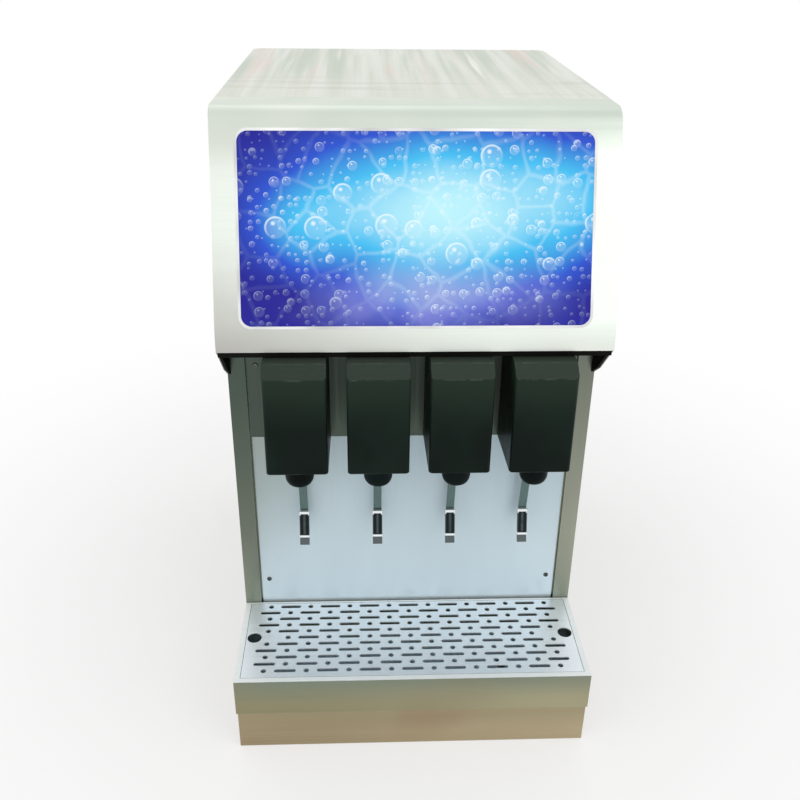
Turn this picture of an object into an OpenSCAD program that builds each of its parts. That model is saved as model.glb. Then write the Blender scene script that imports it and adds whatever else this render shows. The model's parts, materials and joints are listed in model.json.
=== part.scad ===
// Counter-top soda fountain with four push-lever valves, a lit head and a lift-off drip tray.
// Millimetres. X across, Y from the front to the back, Z up from the surface it stands on.

/* [Cabinet] */
// Overall width of the cabinet and the drip tray
machine_w = 440; // [430:1:500]
// Overall depth from the tray front to the back
machine_d = 650; // [600:1:720]
// Height of the lid above the counter
machine_h = 760; // [690:1:790]
// Thickness of the sheet steel
sheet_t = 1.5; // [1:0.1:2]
// Height of the seam between the base and the tray skirt
base_h = 56.6; // [45:0.2:66]
// How far the skirt and the sides lap down over the base
skirt_lap = 3.4; // [2:0.2:6]
// Height of the rubber feet
foot_h = 4; // [3:0.5:8]
// Radius of a rubber foot
foot_r = 18; // [12:0.5:25]
// Distance of a foot's centre from the edges of the base
foot_inset = 45; // [30:1:60]
// Height of the base's lower edge above the counter
base_clear = 0.5; // [0.4:0.1:2]
// Radius of the rear corners of the cabinet
corner_r = 14; // [8:1:20]
// Width of the front post flanges
post_w = 21; // [16:1:26]

/* [Drip tray] */
// Depth of the drip tray, from its front to the posts
tray_d = 150; // [140:1:170]
// Height of the tray rim above the counter
tray_top = 109; // [95:1:125]
// Width of the rim at the front and the sides
rim_w = 7.4; // [6:0.2:10]
// Width of the rim at the back
rim_back = 3; // [2:0.5:5]
// Width of the ledge that carries the grille
ledge_w = 1.2; // [1:0.1:2]
// Thickness of the grille plate
grille_t = 1.6; // [1:0.1:3]
// Number of rows of holes
row_count = 11; // [7:2:11]
// Distance between the rows of holes
row_pitch = 12.05; // [11:0.05:12.4]
// Number of holes in a row
col_count = 15; // [9:2:15]
// Distance between the holes of a row
col_pitch = 26.43; // [26:0.01:26.6]
// Radius of a round hole
dot_r = 3.4; // [2:0.1:4]
// Length of a long hole
dash_l = 27; // [18:0.5:30]
// Width of a long hole
dash_w = 5.4; // [3:0.1:6]
// Radius of a finger hole
finger_r = 9.2; // [6:0.1:10]

/* [Head] */
// Distance of the fascia's lower edge behind the tray front
head_low_y = 80; // [70:1:95]
// Height of the head, from the fascia's lower edge to the lid
head_h = 248; // [232:1:250]
// Slope of the fascia from the vertical, in degrees
head_slant = 18.9; // [15:0.1:22]
// Radius of the fascia's lower curl
low_r = 110; // [90:1:130]
// Radius of the bend between the fascia and the lid
top_r = 22; // [15:1:40]
// Depth of the fascia's flat top between that bend and the lid
top_flat = 42; // [36:1:55]
// Height of the black moulding under the fascia
chin_h = 7; // [5:0.5:8]
// Height of a cheek, from the fascia's lower edge down to the post
cheek_h = 59; // [42:1:72]
// Thickness of a cheek
cheek_t = 2.5; // [2:0.1:4]

/* [Light panel] */
// Width of the lit panel
panel_w = 384; // [300:1:400]
// Height of the lit panel, along the slope
panel_h = 209; // [160:1:215]
// Lower edge of the lit panel, along the slope from the end of the curl
panel_low = -8; // [-10:0.5:10]
// Corner radius of the lit panel
panel_corner = 13; // [8:0.5:25]
// Thickness of the lit panel
panel_t = 3; // [2:0.1:4]
// Width of the trim around the lit panel
trim_w = 3; // [2:0.1:8]
// How far the trim stands proud of the fascia
trim_t = 1.2; // [0.8:0.1:3]
// Depth of the light box
box_depth = 45; // [35:1:60]

/* [Splash] */
// How far the splash panel lies behind the post flanges
splash_setback = 3; // [2:0.5:8]
// Gap between a post flange and the splash panel
splash_gap = 2; // [1:0.5:4]
// Distance of the seam over the splash panel below the covers' lower edge
seam_drop = 8; // [1:1:33]
// Radius of a panel screw's shank
screw_r = 1.5; // [1.2:0.1:2.5]

/* [Valves] */
// Distance between the valve centres
valve_pitch = 92.5; // [90:0.5:94]
// Distance of the valve bank's middle to the right of the cabinet's
valve_shift = 4; // [0:0.5:6]
// Width of a valve cover
valve_w = 70.5; // [66:0.5:80]
// Distance of the cover's front behind the tray front
cover_front_y = 50; // [44:1:56]
// Height of a valve cover's front
cover_h = 131; // [125:1:134]
// Distance of the ridge on the cover's front below its top
ridge_drop = 12; // [8:1:19]
// Gap between a cover's top and the moulding above it
cover_gap = 1; // [1:0.5:5]
// Depth of the slope on top of the cover
cover_slope = 18; // [10:1:24]
// Wall of a valve cover
cover_t = 2.2; // [1.5:0.1:3]
// Radius of the cover's front corners
cover_corner = 5; // [3:0.5:8]
// Distance of the nozzles behind the tray front
nozzle_y = 85; // [82:0.5:88]
// Height of a nozzle below its cover's lower edge
nozzle_h = 32; // [30:1:40]
// Radius of a nozzle
nozzle_r = 17; // [14:0.1:18]
// Radius of the nozzle's flange
nozzle_flange_r = 21; // [19:0.5:22]
// Radius of the neck that turns in the valve body
neck_r = 12; // [10:0.1:13]
// Radius of the nozzle's mouth
mouth_r = 8; // [6:0.1:9]
// Distance of the lever pivots behind the tray front
pivot_y = 113; // [112:0.5:116]
// Height of the lever pivots above the covers' lower edge
pivot_lift = 7; // [6:0.5:9]
// Thickness of a lever's strip
lever_t = 2.5; // [2:0.1:3]
// Width of a lever's arm
lever_w = 10; // [8:0.5:12]
// Width of a lever's push plate
plate_w = 12; // [10:0.5:14]
// Radius of a lever pin
pin_r = 2; // [1.5:0.1:2.5]

/* [Cooling] */
// Depth of the pump bay behind the water bath
pump_bay = 140; // [120:1:150]
// Height of the water bath
tank_h = 370; // [340:1:375]
// Wall of the water bath
tank_t = 6; // [4:0.5:8]
// Radius of the carbonator
carbonator_r = 55; // [40:1:58]
// Radius of the evaporator coil
coil_r = 105; // [95:1:110]
// Radius of the fan
fan_r = 75; // [60:1:85]
// Radius of the compressor
compressor_r = 72; // [60:1:78]
// Radius of the agitator's shaft
shaft_r = 4; // [3:0.1:5]

/* [Connections] */
// Depth of the recess at the back that holds the connections
recess_d = 34; // [32:1:45]
// Height of that recess
recess_h = 90; // [86:1:110]
// Outer radius of an inlet stub
stub_r = 4; // [3:0.1:5]
// Length of an inlet stub beyond its collar
stub_l = 20; // [15:1:22]
// Outer radius of the drain outlet
drain_r = 9.5; // [8:0.5:12]
// Length of the drain outlet outside the base
drain_l = 20; // [16:1:26]
// Distance between the rows of inlet stubs
stub_pitch = 30; // [26:1:32]
// Distance between the columns of inlet stubs
stub_column = 42; // [30:1:44]

/* [Hidden] */
$fn = 64;

// Clearances: laps of sheets, running fits, seats, lid, grille and tray, and the overshoot of a cut
lap_gap = 0.3;
run_gap = 0.05;
seat_gap = 0.3;
lid_gap = 0.6;
grille_gap = 0.4;
tray_gap = 0.5;
cut = 1;

// Cabinet
half_w = machine_w / 2;
valve_count = 4;
deck_z = base_h + skirt_lap;
base_half = half_w - sheet_t - lap_gap;
conn_y = machine_d - recess_d;
base_back = conn_y + sheet_t;
post_y = tray_d;
splash_y = post_y + splash_setback;
splash_half = half_w - post_w - splash_gap;
tab_y = splash_y + sheet_t;
tab_w = 18;
flange_w = 14;
lid_z = machine_h - sheet_t;
lid_flange_h = 12;
lid_flange_gap = 5;
lid_rest_d = 15;
lid_rest_t = 2.5;
conn_top = deck_z + recess_h;
back_gap = 2;
back_half = half_w - corner_r - back_gap;

// Louvres of the back
slot_w = 130;
slot_h = 7;
slot_pitch = 22;
slot_count = 8;
slot_lift = 24;

// Head outline: lower curl, straight slope and top bend, as (Y, Z)
head_low_z = machine_h - head_h;
low_centre = [head_low_y + low_r, head_low_z];
slope_dir = [sin(head_slant), cos(head_slant)];
slope_in = [cos(head_slant), -sin(head_slant)];
slope_start = low_centre - low_r * slope_in;
slope_run = (machine_h - top_r * (1 - sin(head_slant)) - slope_start[1]) / cos(head_slant);
top_centre = slope_start + slope_run * slope_dir + top_r * slope_in;
lid_front_y = top_centre[0] + top_flat;
panel_reach = 100;
curl_steps = 8;
bend_steps = 24;
fascia_lip = 15;
box_wall = 2;
led_count = 3;
led_h = 10;
led_t = 4;
led_inset = 12;

// Chin, with the bends of a cheek's lower edge as shares of its run and its drop
chin_z = head_low_z - chin_h;
chin_t = 3;
chin_front_y = head_low_y + chin_t;
cheek_low_z = head_low_z - cheek_h;
cheek_gap = 1;
cheek_bends = [[0.26, 0.29], [0.62, 0.71]];

// Drip tray
tray_back = tray_d - tray_gap;
rim_t = 3.5;
grille_sink = 0.2;
grille_z = tray_top - grille_t - grille_sink;
row_margin = 6.5;
first_row_y = tray_back - rim_back - grille_gap - row_margin;
finger_margin = 1.2;
finger_y = first_row_y - (row_count - 1) / 2 * row_pitch;
finger_x = half_w - rim_w - grille_gap - finger_r - finger_margin;
spout_r = 9;
spout_x = 120;
spout_drop = 14;
spout_gap = 1;

// Valve covers and bodies
cover_top_z = chin_z - cover_gap;
cover_low_z = cover_top_z - cover_h;
cover_ridge_z = cover_top_z - ridge_drop;
seam_z = cover_low_z - seam_drop;
pivot_z = cover_low_z + pivot_lift;
cover_room = 2;
solenoid_r = 10;
solenoid_h = 20;
solenoid_x = 11;
solenoid_back = 28;
body_half = 22;
body_lift = 8;
body_low_z = pivot_z + body_lift;
body_top_z = cover_top_z - cover_t - cover_room - solenoid_h;
nose_inset = 1;
nose_drop = 1;
nose_low_z = cover_low_z - nose_drop;
micro_w = 16;
micro_d = 16;
micro_h = 10;
micro_back = 16;
adjuster_x = 10;
adjuster_r = 4;
adjuster_l = 6;

// Nozzles
nozzle_low_z = cover_low_z - nozzle_h;
flange_top_z = nose_low_z - seat_gap;
flange_t = 2;
neck_bite = 8;
neck_top_z = body_low_z + neck_bite;
flare_room = 8;
mouth_rim = 1.5;
bowl_w = nozzle_r - mouth_r - mouth_rim;
bowl_h = 12;
mouth_depth = 24;

// Levers, with their bends as (Y, Z) from the pivot: neck, knee, heel and tip
ear_x = 9;
ear_t = 3;
boss_wall = 2.5;
boss_r = pin_r + boss_wall;
spring_r = boss_r - seat_gap;
lever_bends = [[0, 0], [3, -18], [21, -112], [10.7, -144.5], [6, -154]];
lever_line = [for (b = lever_bends) [pivot_y, pivot_z] + b];
lever_knee = lever_line[2];
lever_run = lever_line[3] - lever_knee;
lever_room = 100;
rail_t = 1.2;
rail_d = 3;
lip_h = 3.6;
pad_t = 2.4;
pad_gap = 0.2;

// Panel screws
screw_low_lift = 37;
screw_high_drop = 42;
screw_low_z = tray_top + screw_low_lift;
screw_high_z = chin_z - screw_high_drop;
screw_inset = 10;
screw_x = splash_half - screw_inset;
screw_lip = 1.8;
screw_head_r = screw_r + screw_lip;
screw_head_t = 1.6;
screw_out = 2;

// Water bath, its coils, the carbonator and the agitator
tank_room = 20;
tank_side = 35;
tank_y = tab_y + sheet_t + tank_room;
tank_d = conn_y - pump_bay - tank_y;
tank_half = half_w - tank_side;
tank_top = deck_z + tank_h;
rack_t = 2;
rack_gap = 2;
rack_back_gap = 3;
rack_z = tank_top + rack_t;
coil_gap = 6;
coil_x = tank_half - tank_t - coil_r - coil_gap;
coil_y = tank_y + tank_d / 2;
coil_wall = 3;
coil_space = 27;
coil_h = 200;
product_drop = 30;
carbonator_gap = 4;
carbonator_x = -(tank_half - tank_t - carbonator_r - carbonator_gap);
carbonator_h = 260;
carbonator_wall = 3;
port_h = 20;
port_r = 10;
port_bore = 4;
stirrer_lift = 120;
stirrer_z = deck_z + tank_t + stirrer_lift;
stirrer_r = 32;
stirrer_hub = 4;
stirrer_nose = 2;
stirrer_t = 3;
stirrer_h = 14;
motor_h = 70;
motor_r = 36;
motor_flange = 8;
motor_flange_t = 3;
shaft_in = 25;
shaft_room = 2;

// Compressor, condenser, fan and pump
compressor_gap = 30;
compressor_x = -(half_w - compressor_r - compressor_gap);
compressor_h = 150;
compressor_wall = 12;
compressor_cap = 29;
compressor_cap_h = 12;
compressor_foot_r = 9;
compressor_foot_h = 12;
compressor_foot_in = 14;
condenser_t = 40;
condenser_gap = 6;
condenser_y = machine_d - 2 * sheet_t - condenser_gap - condenser_t;
condenser_lip = 12;
fin_pitch = 10;
fin_t = 5;
fin_depth = 12;
fin_margin = 8;
fan_x = 60;
fan_lift = 14;
fan_z = rack_z + fan_r + fan_lift;
fan_t = 14;
fan_gap = 10;
fan_y = condenser_y - fan_gap - fan_t;
fan_motor_r = 30;
fan_motor_l = 50;
fan_motor_gap = 4;
fan_shaft_r = 3;
fan_hub_r = 18;
fan_cap = 3;
blade_count = 5;
blade_pitch = 25;
blade_t = 2;
blade_chord = 28;
blade_root = 4;
bracket_w = 24;
bracket_inset = 5;
pump_r = 45;
pump_l = 140;
pump_lift = 10;
pump_y = conn_y - pump_bay / 2;
pump_z = deck_z + pump_r + pump_lift;
pump_head_r = 28;
pump_head_l = 60;
pump_foot_w = 60;
pump_foot_inset = 15;

// Connections on the recessed plate
face_y = conn_y + sheet_t;
stub_lift = 30;
stub_z = deck_z + stub_lift;
stub_collar_r = 8;
stub_collar_t = 6;
stub_wall = 1.4;
stub_count = 6;
stub_columns = 3;
stub_x0 = 40;
inlet_x = -150;
inlet_lift = 42;
inlet_z = deck_z + inlet_lift;
inlet_t = 3;
inlet_depth = 16;
inlet_size = [40, 26];
socket_size = [28, 18];
inlet_margin = 8;
switch_x = -105;
switch_size = [24, 30];
switch_margin = 4;
inlet_plate_h = 32;
rocker_r = 13;
rocker_w = 15;
rocker_back = 9.75;
rocker_front = 7.15;
rocker_sink = 1;
knob_x = -50;
knob_r = 16;
knob_t = 14;
knob_cap = 3;
knob_shaft_r = 3;
knob_mark_w = 2.4;
knob_mark_t = 1.5;
knob_mark_in = 2;
drain_x = 150;
drain_lift = 26;
drain_z = foot_h + drain_lift;
drain_wall = 2;
drain_step = 1;
drain_neck_r = drain_r - drain_step;
collar_t = 3;

function valve_x(k) = valve_shift + (k - (valve_count + 1) / 2) * valve_pitch;

// Moves from the tray front to the frame's origin under the middle of the cabinet
module from_front() {
    translate([0, -machine_d / 2, 0]) children();
}

module block(x, y, z) {
    translate([x[0], y[0], z[0]]) cube([x[1] - x[0], y[1] - y[0], z[1] - z[0]]);
}

// Extrudes a (Y, Z) outline along X
module across(x0, x1) {
    translate([x0, 0, 0]) rotate([90, 0, 90]) linear_extrude(height = x1 - x0) children();
}

// Upright cylinder
module post(x, y, z0, z1, r) {
    translate([x, y, z0]) cylinder(r = r, h = z1 - z0);
}

// Cylinder along Y
module rod(x, z, y0, y1, r) {
    translate([x, y0, z]) rotate([-90, 0, 0]) cylinder(r = r, h = y1 - y0);
}

// Cylinder along X
module bar(y, z, x0, x1, r) {
    translate([x0, y, z]) rotate([0, 90, 0]) cylinder(r = r, h = x1 - x0);
}

module rounded_rect(w, h, r) {
    square([w - 2 * r, h], center = true);
    square([w, h - 2 * r], center = true);
    for (sx = [-1, 1], sy = [-1, 1]) {
        translate([sx * (w / 2 - r), sy * (h / 2 - r)]) circle(r = r);
    }
}

// Plan of a sheet with square front corners and round rear corners
module cabinet_plan(half, y0, y1, r) {
    translate([-half, y0]) square([2 * half, y1 - y0 - r]);
    translate([-half + r, y0]) square([2 * half - 2 * r, y1 - y0]);
    for (s = [-1, 1]) {
        translate([s * (half - r), y1 - r]) circle(r = r);
    }
}

// Points along an arc of (Y, Z), from angle a0 to a1
function arc(centre, r, a0, a1, steps) =
    [for (i = [0 : steps]) let (a = a0 + (a1 - a0) * i / steps) centre + r * [cos(a), sin(a)]];

function reversed(points) = [for (i = [len(points) - 1 : -1 : 0]) points[i]];

// Front line of the head, moved inwards by inset: curl, slope, bend and flat top
function head_front(inset) = concat(
    arc(low_centre, low_r - inset, 180, 180 - head_slant, curl_steps),
    arc(top_centre, top_r - inset, 180 - head_slant, 90, bend_steps),
    [[lid_front_y, machine_h - inset]]
);

// Head as (Y, Z), moved inwards by inset, back to a given place
module head_outline(inset, back_y) {
    polygon(concat(head_front(inset), [[back_y, machine_h - inset], [back_y, head_low_z]]));
}

// Skin of the head's front between two insets
module head_skin(outer, inner) {
    across(-half_w, half_w) polygon(concat(head_front(outer), reversed(head_front(inner))));
}

// Local frame of the lit panel: X across, Y up the slope, Z out of the fascia
module on_slope() {
    translate([0, slope_start[0], slope_start[1]]) rotate([90 - head_slant, 0, 0]) children();
}

// Prism through the fascia, grown by a margin all round
module panel_prism(grow, low, high) {
    on_slope() translate([0, panel_low + panel_h / 2, low]) linear_extrude(height = high - low)
        rounded_rect(panel_w + 2 * grow, panel_h + 2 * grow, panel_corner + grow);
}

// Lines beside a line of (Y, Z) points, with mitred corners
function left_normal(v) = [-v[1], v[0]] / norm(v);
function normal_at(points, i) = left_normal(points[i + 1] - points[i]);
function mitre(a, b) = (a + b) / (1 + a * b);
function beside(points, off) =
    let (last = len(points) - 1)
    [for (i = [0 : last])
        let (before = normal_at(points, max(i - 1, 0)), after = normal_at(points, min(i, last - 1)))
        points[i] + off * mitre(before, after)];

// Strip of sheet along a line of (Y, Z) points
module strip(points, t) {
    polygon(concat(beside(points, t / 2), reversed(beside(points, -t / 2))));
}

// Cabinet

module base_pan() {
    inner_half = base_half - sheet_t;
    front_y = sheet_t + lap_gap;
    color("#a99e86") from_front() difference() {
        block([-base_half, base_half], [front_y, base_back], [base_clear, deck_z]);
        block(
            [-inner_half, inner_half],
            [front_y + sheet_t, base_back - sheet_t],
            [foot_h + sheet_t, deck_z - sheet_t]
        );
        block(
            [-inner_half, inner_half],
            [front_y + sheet_t, base_back - sheet_t],
            [base_clear - cut, foot_h]
        );
        post(spout_x, tray_d / 2, deck_z - sheet_t - cut, deck_z + cut, spout_r + spout_gap);
        rod(drain_x, drain_z, base_back - sheet_t - cut, base_back + cut, drain_neck_r + run_gap);
    }
}

module rubber_feet() {
    color("#202020") from_front()
        for (s = [-1, 1], y = [foot_inset, base_back - foot_inset]) {
            post(s * (base_half - foot_inset), y, 0, foot_h, foot_r);
        }
}

// Side outline: body, head and the chin that steps out between them
module side_outline() {
    back_y = machine_d - corner_r;
    head_outline(sheet_t, back_y);
    translate([post_y, base_h]) square([back_y - post_y, head_low_z - base_h]);
    cheek_outline(sheet_t);
}

// Cheek of the chin as (Y, Z)
module cheek_outline(inset) {
    run = post_y - head_low_y;
    drop = head_low_z - cheek_low_z;
    polygon(concat(
        [[head_low_y + inset, head_low_z]],
        [for (b = cheek_bends) [head_low_y + inset + run * b[0], head_low_z - drop * b[1]]],
        [[post_y, cheek_low_z], [post_y, head_low_z]]
    ));
}

// Right-hand side sheet: flat side, rear corner and flange, post flange with its tab, foot flange
module side_sheet() {
    inner_x = half_w - sheet_t;
    tab_end = splash_half + splash_gap + sheet_t;
    across(inner_x, half_w) side_outline();
    intersection() {
        difference() {
            post(half_w - corner_r, machine_d - corner_r, base_h, lid_z, corner_r);
            post(half_w - corner_r, machine_d - corner_r, base_h - cut, lid_z + cut, corner_r - sheet_t);
        }
        block([half_w - corner_r, half_w], [machine_d - corner_r, machine_d], [base_h, lid_z]);
    }
    block(
        [half_w - corner_r - flange_w, half_w - corner_r],
        [machine_d - sheet_t, machine_d],
        [base_h, lid_z]
    );
    block([half_w - post_w, half_w], [post_y, post_y + sheet_t], [deck_z, chin_z]);
    block([half_w - post_w, half_w - post_w + sheet_t], [post_y, tab_y + sheet_t], [deck_z, chin_z]);
    block([splash_half - tab_w, tab_end], [tab_y, tab_y + sheet_t], [deck_z, chin_z]);
    block([half_w - post_w, inner_x], [post_y, conn_y - cut], [deck_z, deck_z + sheet_t]);
}

// Holes for the panel screws, through sheets of one side
module screw_holes(r) {
    for (z = [screw_low_z, screw_high_z]) {
        rod(screw_x, z, splash_y - cut, tab_y + sheet_t + cut, r);
    }
}

module right_side_panel() {
    color("#8f938c") from_front() difference() {
        side_sheet();
        screw_holes(screw_r + run_gap);
    }
}

module left_side_panel() {
    color("#8f938c") from_front() mirror([1, 0, 0]) difference() {
        side_sheet();
        screw_holes(screw_r + run_gap);
    }
}

module back_panel() {
    slot_z = rack_z + slot_lift;
    color("#9a9d97") from_front() difference() {
        block([-back_half, back_half], [machine_d - 2 * sheet_t, machine_d - sheet_t], [conn_top, lid_z]);
        for (s = [-1, 1], i = [0 : slot_count - 1]) {
            block(
                [s * back_half / 2 - slot_w / 2, s * back_half / 2 + slot_w / 2],
                [machine_d - 2 * sheet_t - cut, machine_d],
                [slot_z + i * slot_pitch, slot_z + i * slot_pitch + slot_h]
            );
        }
    }
}

module connection_plate() {
    plate_half = half_w - sheet_t - lap_gap;
    roof_half = half_w - corner_r;
    color("#9a9d97") from_front() {
        block([-plate_half, plate_half], [conn_y, face_y], [deck_z, conn_top]);
        block([-roof_half, roof_half], [conn_y, machine_d - 2 * sheet_t], [conn_top - sheet_t, conn_top]);
        rod(knob_x, inlet_z, conn_y, face_y + knob_t - knob_cap, knob_shaft_r);
    }
}

module top_lid() {
    flange_x = half_w - sheet_t - lid_gap;
    flange_y0 = lid_front_y + lid_rest_d + lid_flange_gap;
    flange_y1 = machine_d - corner_r - lid_flange_gap;
    color("#dcdedb") from_front() {
        translate([0, 0, lid_z]) linear_extrude(height = sheet_t)
            cabinet_plan(half_w, lid_front_y + lid_gap, machine_d, corner_r);
        for (s = [-1, 1]) {
            x0 = s > 0 ? flange_x - sheet_t : -flange_x;
            block([x0, x0 + sheet_t], [flange_y0, flange_y1], [lid_z - lid_flange_h, lid_z]);
        }
    }
}

// Head

module front_fascia() {
    rest_half = half_w - sheet_t - lid_gap;
    color("#dcdcd4") from_front() {
        difference() {
            head_skin(0, sheet_t);
            panel_prism(0, -panel_reach, panel_reach);
        }
        across(-rest_half, rest_half) intersection() {
            head_outline(sheet_t, lid_front_y + lid_rest_d);
            translate([lid_front_y - lid_rest_d, lid_z - lid_rest_t])
                square([2 * lid_rest_d, lid_rest_t]);
        }
        block(
            [-rest_half, rest_half],
            [head_low_y + sheet_t, head_low_y + fascia_lip],
            [head_low_z, head_low_z + sheet_t]
        );
    }
}

module panel_trim() {
    color("#f2f4f4") from_front() difference() {
        intersection() {
            head_skin(-trim_t, 0);
            panel_prism(trim_w / 2, -panel_reach, panel_reach);
        }
        panel_prism(-trim_w / 2, -2 * panel_reach, 2 * panel_reach);
    }
}

module light_panel() {
    color("#3f7fe0") from_front() intersection() {
        head_skin(0, panel_t);
        panel_prism(-seat_gap, -panel_reach, panel_reach);
    }
}

module light_box() {
    color("#e8e8e8") from_front() difference() {
        intersection() {
            across(-half_w, half_w) head_outline(panel_t, lid_front_y + lid_rest_d);
            panel_prism(-seat_gap, -box_depth, panel_reach);
        }
        panel_prism(-seat_gap - box_wall, -box_depth + box_wall, 2 * panel_reach);
    }
}

module led_strips() {
    led_half = panel_w / 2 - led_inset;
    step = panel_h / led_count;
    color("#f4f2e0") from_front() on_slope()
        for (i = [0 : led_count - 1]) {
            translate([-led_half, panel_low + step * (i + 1 / 2) - led_h / 2, box_wall - box_depth])
                cube([2 * led_half, led_h, led_t]);
        }
}

// Moulding under the fascia: roof over the valves, front lip and two cheeks
module chin_valance() {
    inner_x = half_w - sheet_t;
    color("#181a1b") from_front() {
        block([-inner_x, inner_x], [chin_front_y, tab_y], [head_low_z - chin_t, head_low_z]);
        block([-inner_x, inner_x], [chin_front_y, chin_front_y + chin_t], [chin_z, head_low_z]);
        for (s = [-1, 1]) {
            x0 = s > 0 ? inner_x - cheek_t : -inner_x;
            across(x0, x0 + cheek_t) cheek_outline(sheet_t + cheek_gap);
        }
    }
}

// Splash and valve plates

module splash_panel() {
    color("#c6d0d8") from_front() difference() {
        block([-splash_half, splash_half], [splash_y, tab_y], [deck_z, seam_z]);
        screw_holes(screw_r + run_gap);
        mirror([1, 0, 0]) screw_holes(screw_r + run_gap);
    }
}

module valve_plate() {
    color("#565a5a") from_front() difference() {
        block([-splash_half, splash_half], [splash_y, tab_y], [seam_z, head_low_z - chin_t]);
        screw_holes(screw_r + run_gap);
        mirror([1, 0, 0]) screw_holes(screw_r + run_gap);
    }
}

module panel_screws() {
    color("#44484a") from_front()
        for (s = [-1, 1], z = [screw_low_z, screw_high_z]) {
            rod(s * screw_x, z, splash_y - screw_head_t, splash_y, screw_head_r);
            rod(s * screw_x, z, splash_y - screw_head_t, tab_y + sheet_t + screw_out, screw_r);
        }
}

// Drip tray

module drip_tray() {
    inner_half = half_w - sheet_t;
    pocket_half = half_w - rim_w;
    rim_low = tray_top - rim_t;
    color("#a2a496") from_front() difference() {
        union() {
            difference() {
                block([-half_w, half_w], [0, tray_back], [base_h, tray_top]);
                block([-inner_half, inner_half], [sheet_t, tray_back + cut], [base_h - cut, deck_z]);
                block(
                    [-half_w - cut, half_w + cut],
                    [tray_back - sheet_t, tray_back + cut],
                    [base_h - cut, deck_z]
                );
                block([-inner_half, inner_half], [sheet_t, tray_back - sheet_t], [deck_z + sheet_t, rim_low]);
                block([-pocket_half, pocket_half], [rim_w, tray_back - rim_back], [grille_z, tray_top + cut]);
                block(
                    [-pocket_half + ledge_w, pocket_half - ledge_w],
                    [rim_w + ledge_w, tray_back - rim_back - ledge_w],
                    [rim_low - cut, tray_top]
                );
            }
            post(spout_x, tray_d / 2, deck_z - spout_drop, deck_z + sheet_t, spout_r);
        }
        post(spout_x, tray_d / 2, deck_z - spout_drop - cut, deck_z + sheet_t + cut, spout_r - sheet_t);
    }
}

module dash() {
    square([dash_l - dash_w, dash_w], center = true);
    for (s = [-1, 1]) {
        translate([s * (dash_l - dash_w) / 2, 0]) circle(d = dash_w);
    }
}

module drip_grille() {
    plate_half = half_w - rim_w - grille_gap;
    y0 = rim_w + grille_gap;
    y1 = tray_back - rim_back - grille_gap;
    mid_row = (row_count - 1) / 2;
    mid_col = (col_count - 1) / 2;
    color("#d4dade") from_front() translate([0, 0, grille_z]) linear_extrude(height = grille_t) difference() {
        translate([-plate_half, y0]) square([2 * plate_half, y1 - y0]);
        for (r = [0 : row_count - 1], c = [0 : col_count - 1]) {
            // The finger holes take the ends of the middle row
            if (r != mid_row || abs(c - mid_col) != mid_col) {
                translate([(c - mid_col) * col_pitch, first_row_y - r * row_pitch]) {
                    if ((r + c) % 2 == 0) circle(r = dot_r);
                    else dash();
                }
            }
        }
        for (s = [-1, 1]) {
            translate([s * finger_x, finger_y]) circle(r = finger_r);
        }
    }
}

// Drain: a neck through the base wall between two collars, and the pipe outside
module drain_outlet() {
    inside_y = base_back - sheet_t - collar_t;
    pipe_y = base_back + collar_t;
    color("#3a3d3f") from_front() difference() {
        union() {
            rod(drain_x, drain_z, inside_y, base_back - sheet_t, drain_r + collar_t);
            rod(drain_x, drain_z, inside_y, pipe_y, drain_neck_r);
            rod(drain_x, drain_z, base_back, pipe_y, drain_r + collar_t);
            rod(drain_x, drain_z, base_back, pipe_y + drain_l, drain_r);
        }
        rod(drain_x, drain_z, inside_y - cut, pipe_y + drain_l + cut, drain_r - drain_wall);
    }
}

// Valves

// Cover outline as (Y, Z), moved inwards by inset at the front and the top
module cover_outline(inset, low_front, low_back, back_y) {
    polygon([
        [cover_front_y + inset, low_front],
        [cover_front_y + inset, cover_ridge_z - inset / 2],
        [cover_front_y + cover_slope + inset / 2, cover_top_z - inset],
        [back_y, cover_top_z - inset],
        [back_y, low_back]
    ]);
}

// Plan of the cover with round front corners
module cover_plan(inset) {
    half = valve_w / 2 - inset;
    r = cover_corner - inset;
    y0 = cover_front_y + inset;
    y1 = splash_y + cut;
    translate([-half, y0 + r]) square([2 * half, y1 - y0 - r]);
    translate([-half + r, y0]) square([2 * half - 2 * r, y1 - y0]);
    for (s = [-1, 1]) {
        translate([s * (half - r), y0 + r]) circle(r = r);
    }
}

module valve_cover(k) {
    color("#1d2022") from_front() translate([valve_x(k), 0, 0]) difference() {
        intersection() {
            across(-valve_w / 2, valve_w / 2) cover_outline(0, cover_low_z, seam_z, splash_y);
            translate([0, 0, seam_z - cut]) linear_extrude(height = cover_top_z - seam_z + 2 * cut)
                cover_plan(0);
        }
        intersection() {
            across(-valve_w / 2, valve_w / 2)
                cover_outline(cover_t, seam_z - 2 * cut, seam_z - 2 * cut, splash_y + cut);
            translate([0, 0, seam_z - 3 * cut]) linear_extrude(height = cover_top_z - seam_z + 3 * cut)
                cover_plan(cover_t);
        }
    }
}

module valve_body(k) {
    color("#3c4043") from_front() translate([valve_x(k), 0, 0]) difference() {
        union() {
            block([-body_half, body_half], [nozzle_y - body_half, splash_y], [body_low_z, body_top_z]);
            post(0, nozzle_y, nose_low_z, body_low_z, body_half - nose_inset);
            for (s = [-1, 1]) {
                x0 = s > 0 ? ear_x : -ear_x - ear_t;
                block([x0, x0 + ear_t], [pivot_y - boss_r, pivot_y + boss_r], [pivot_z - boss_r, body_low_z]);
            }
        }
        post(0, nozzle_y, nose_low_z - cut, neck_top_z + seat_gap, neck_r + run_gap);
        bar(pivot_y, pivot_z, -body_half, body_half, pin_r + run_gap / 2);
    }
}

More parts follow.
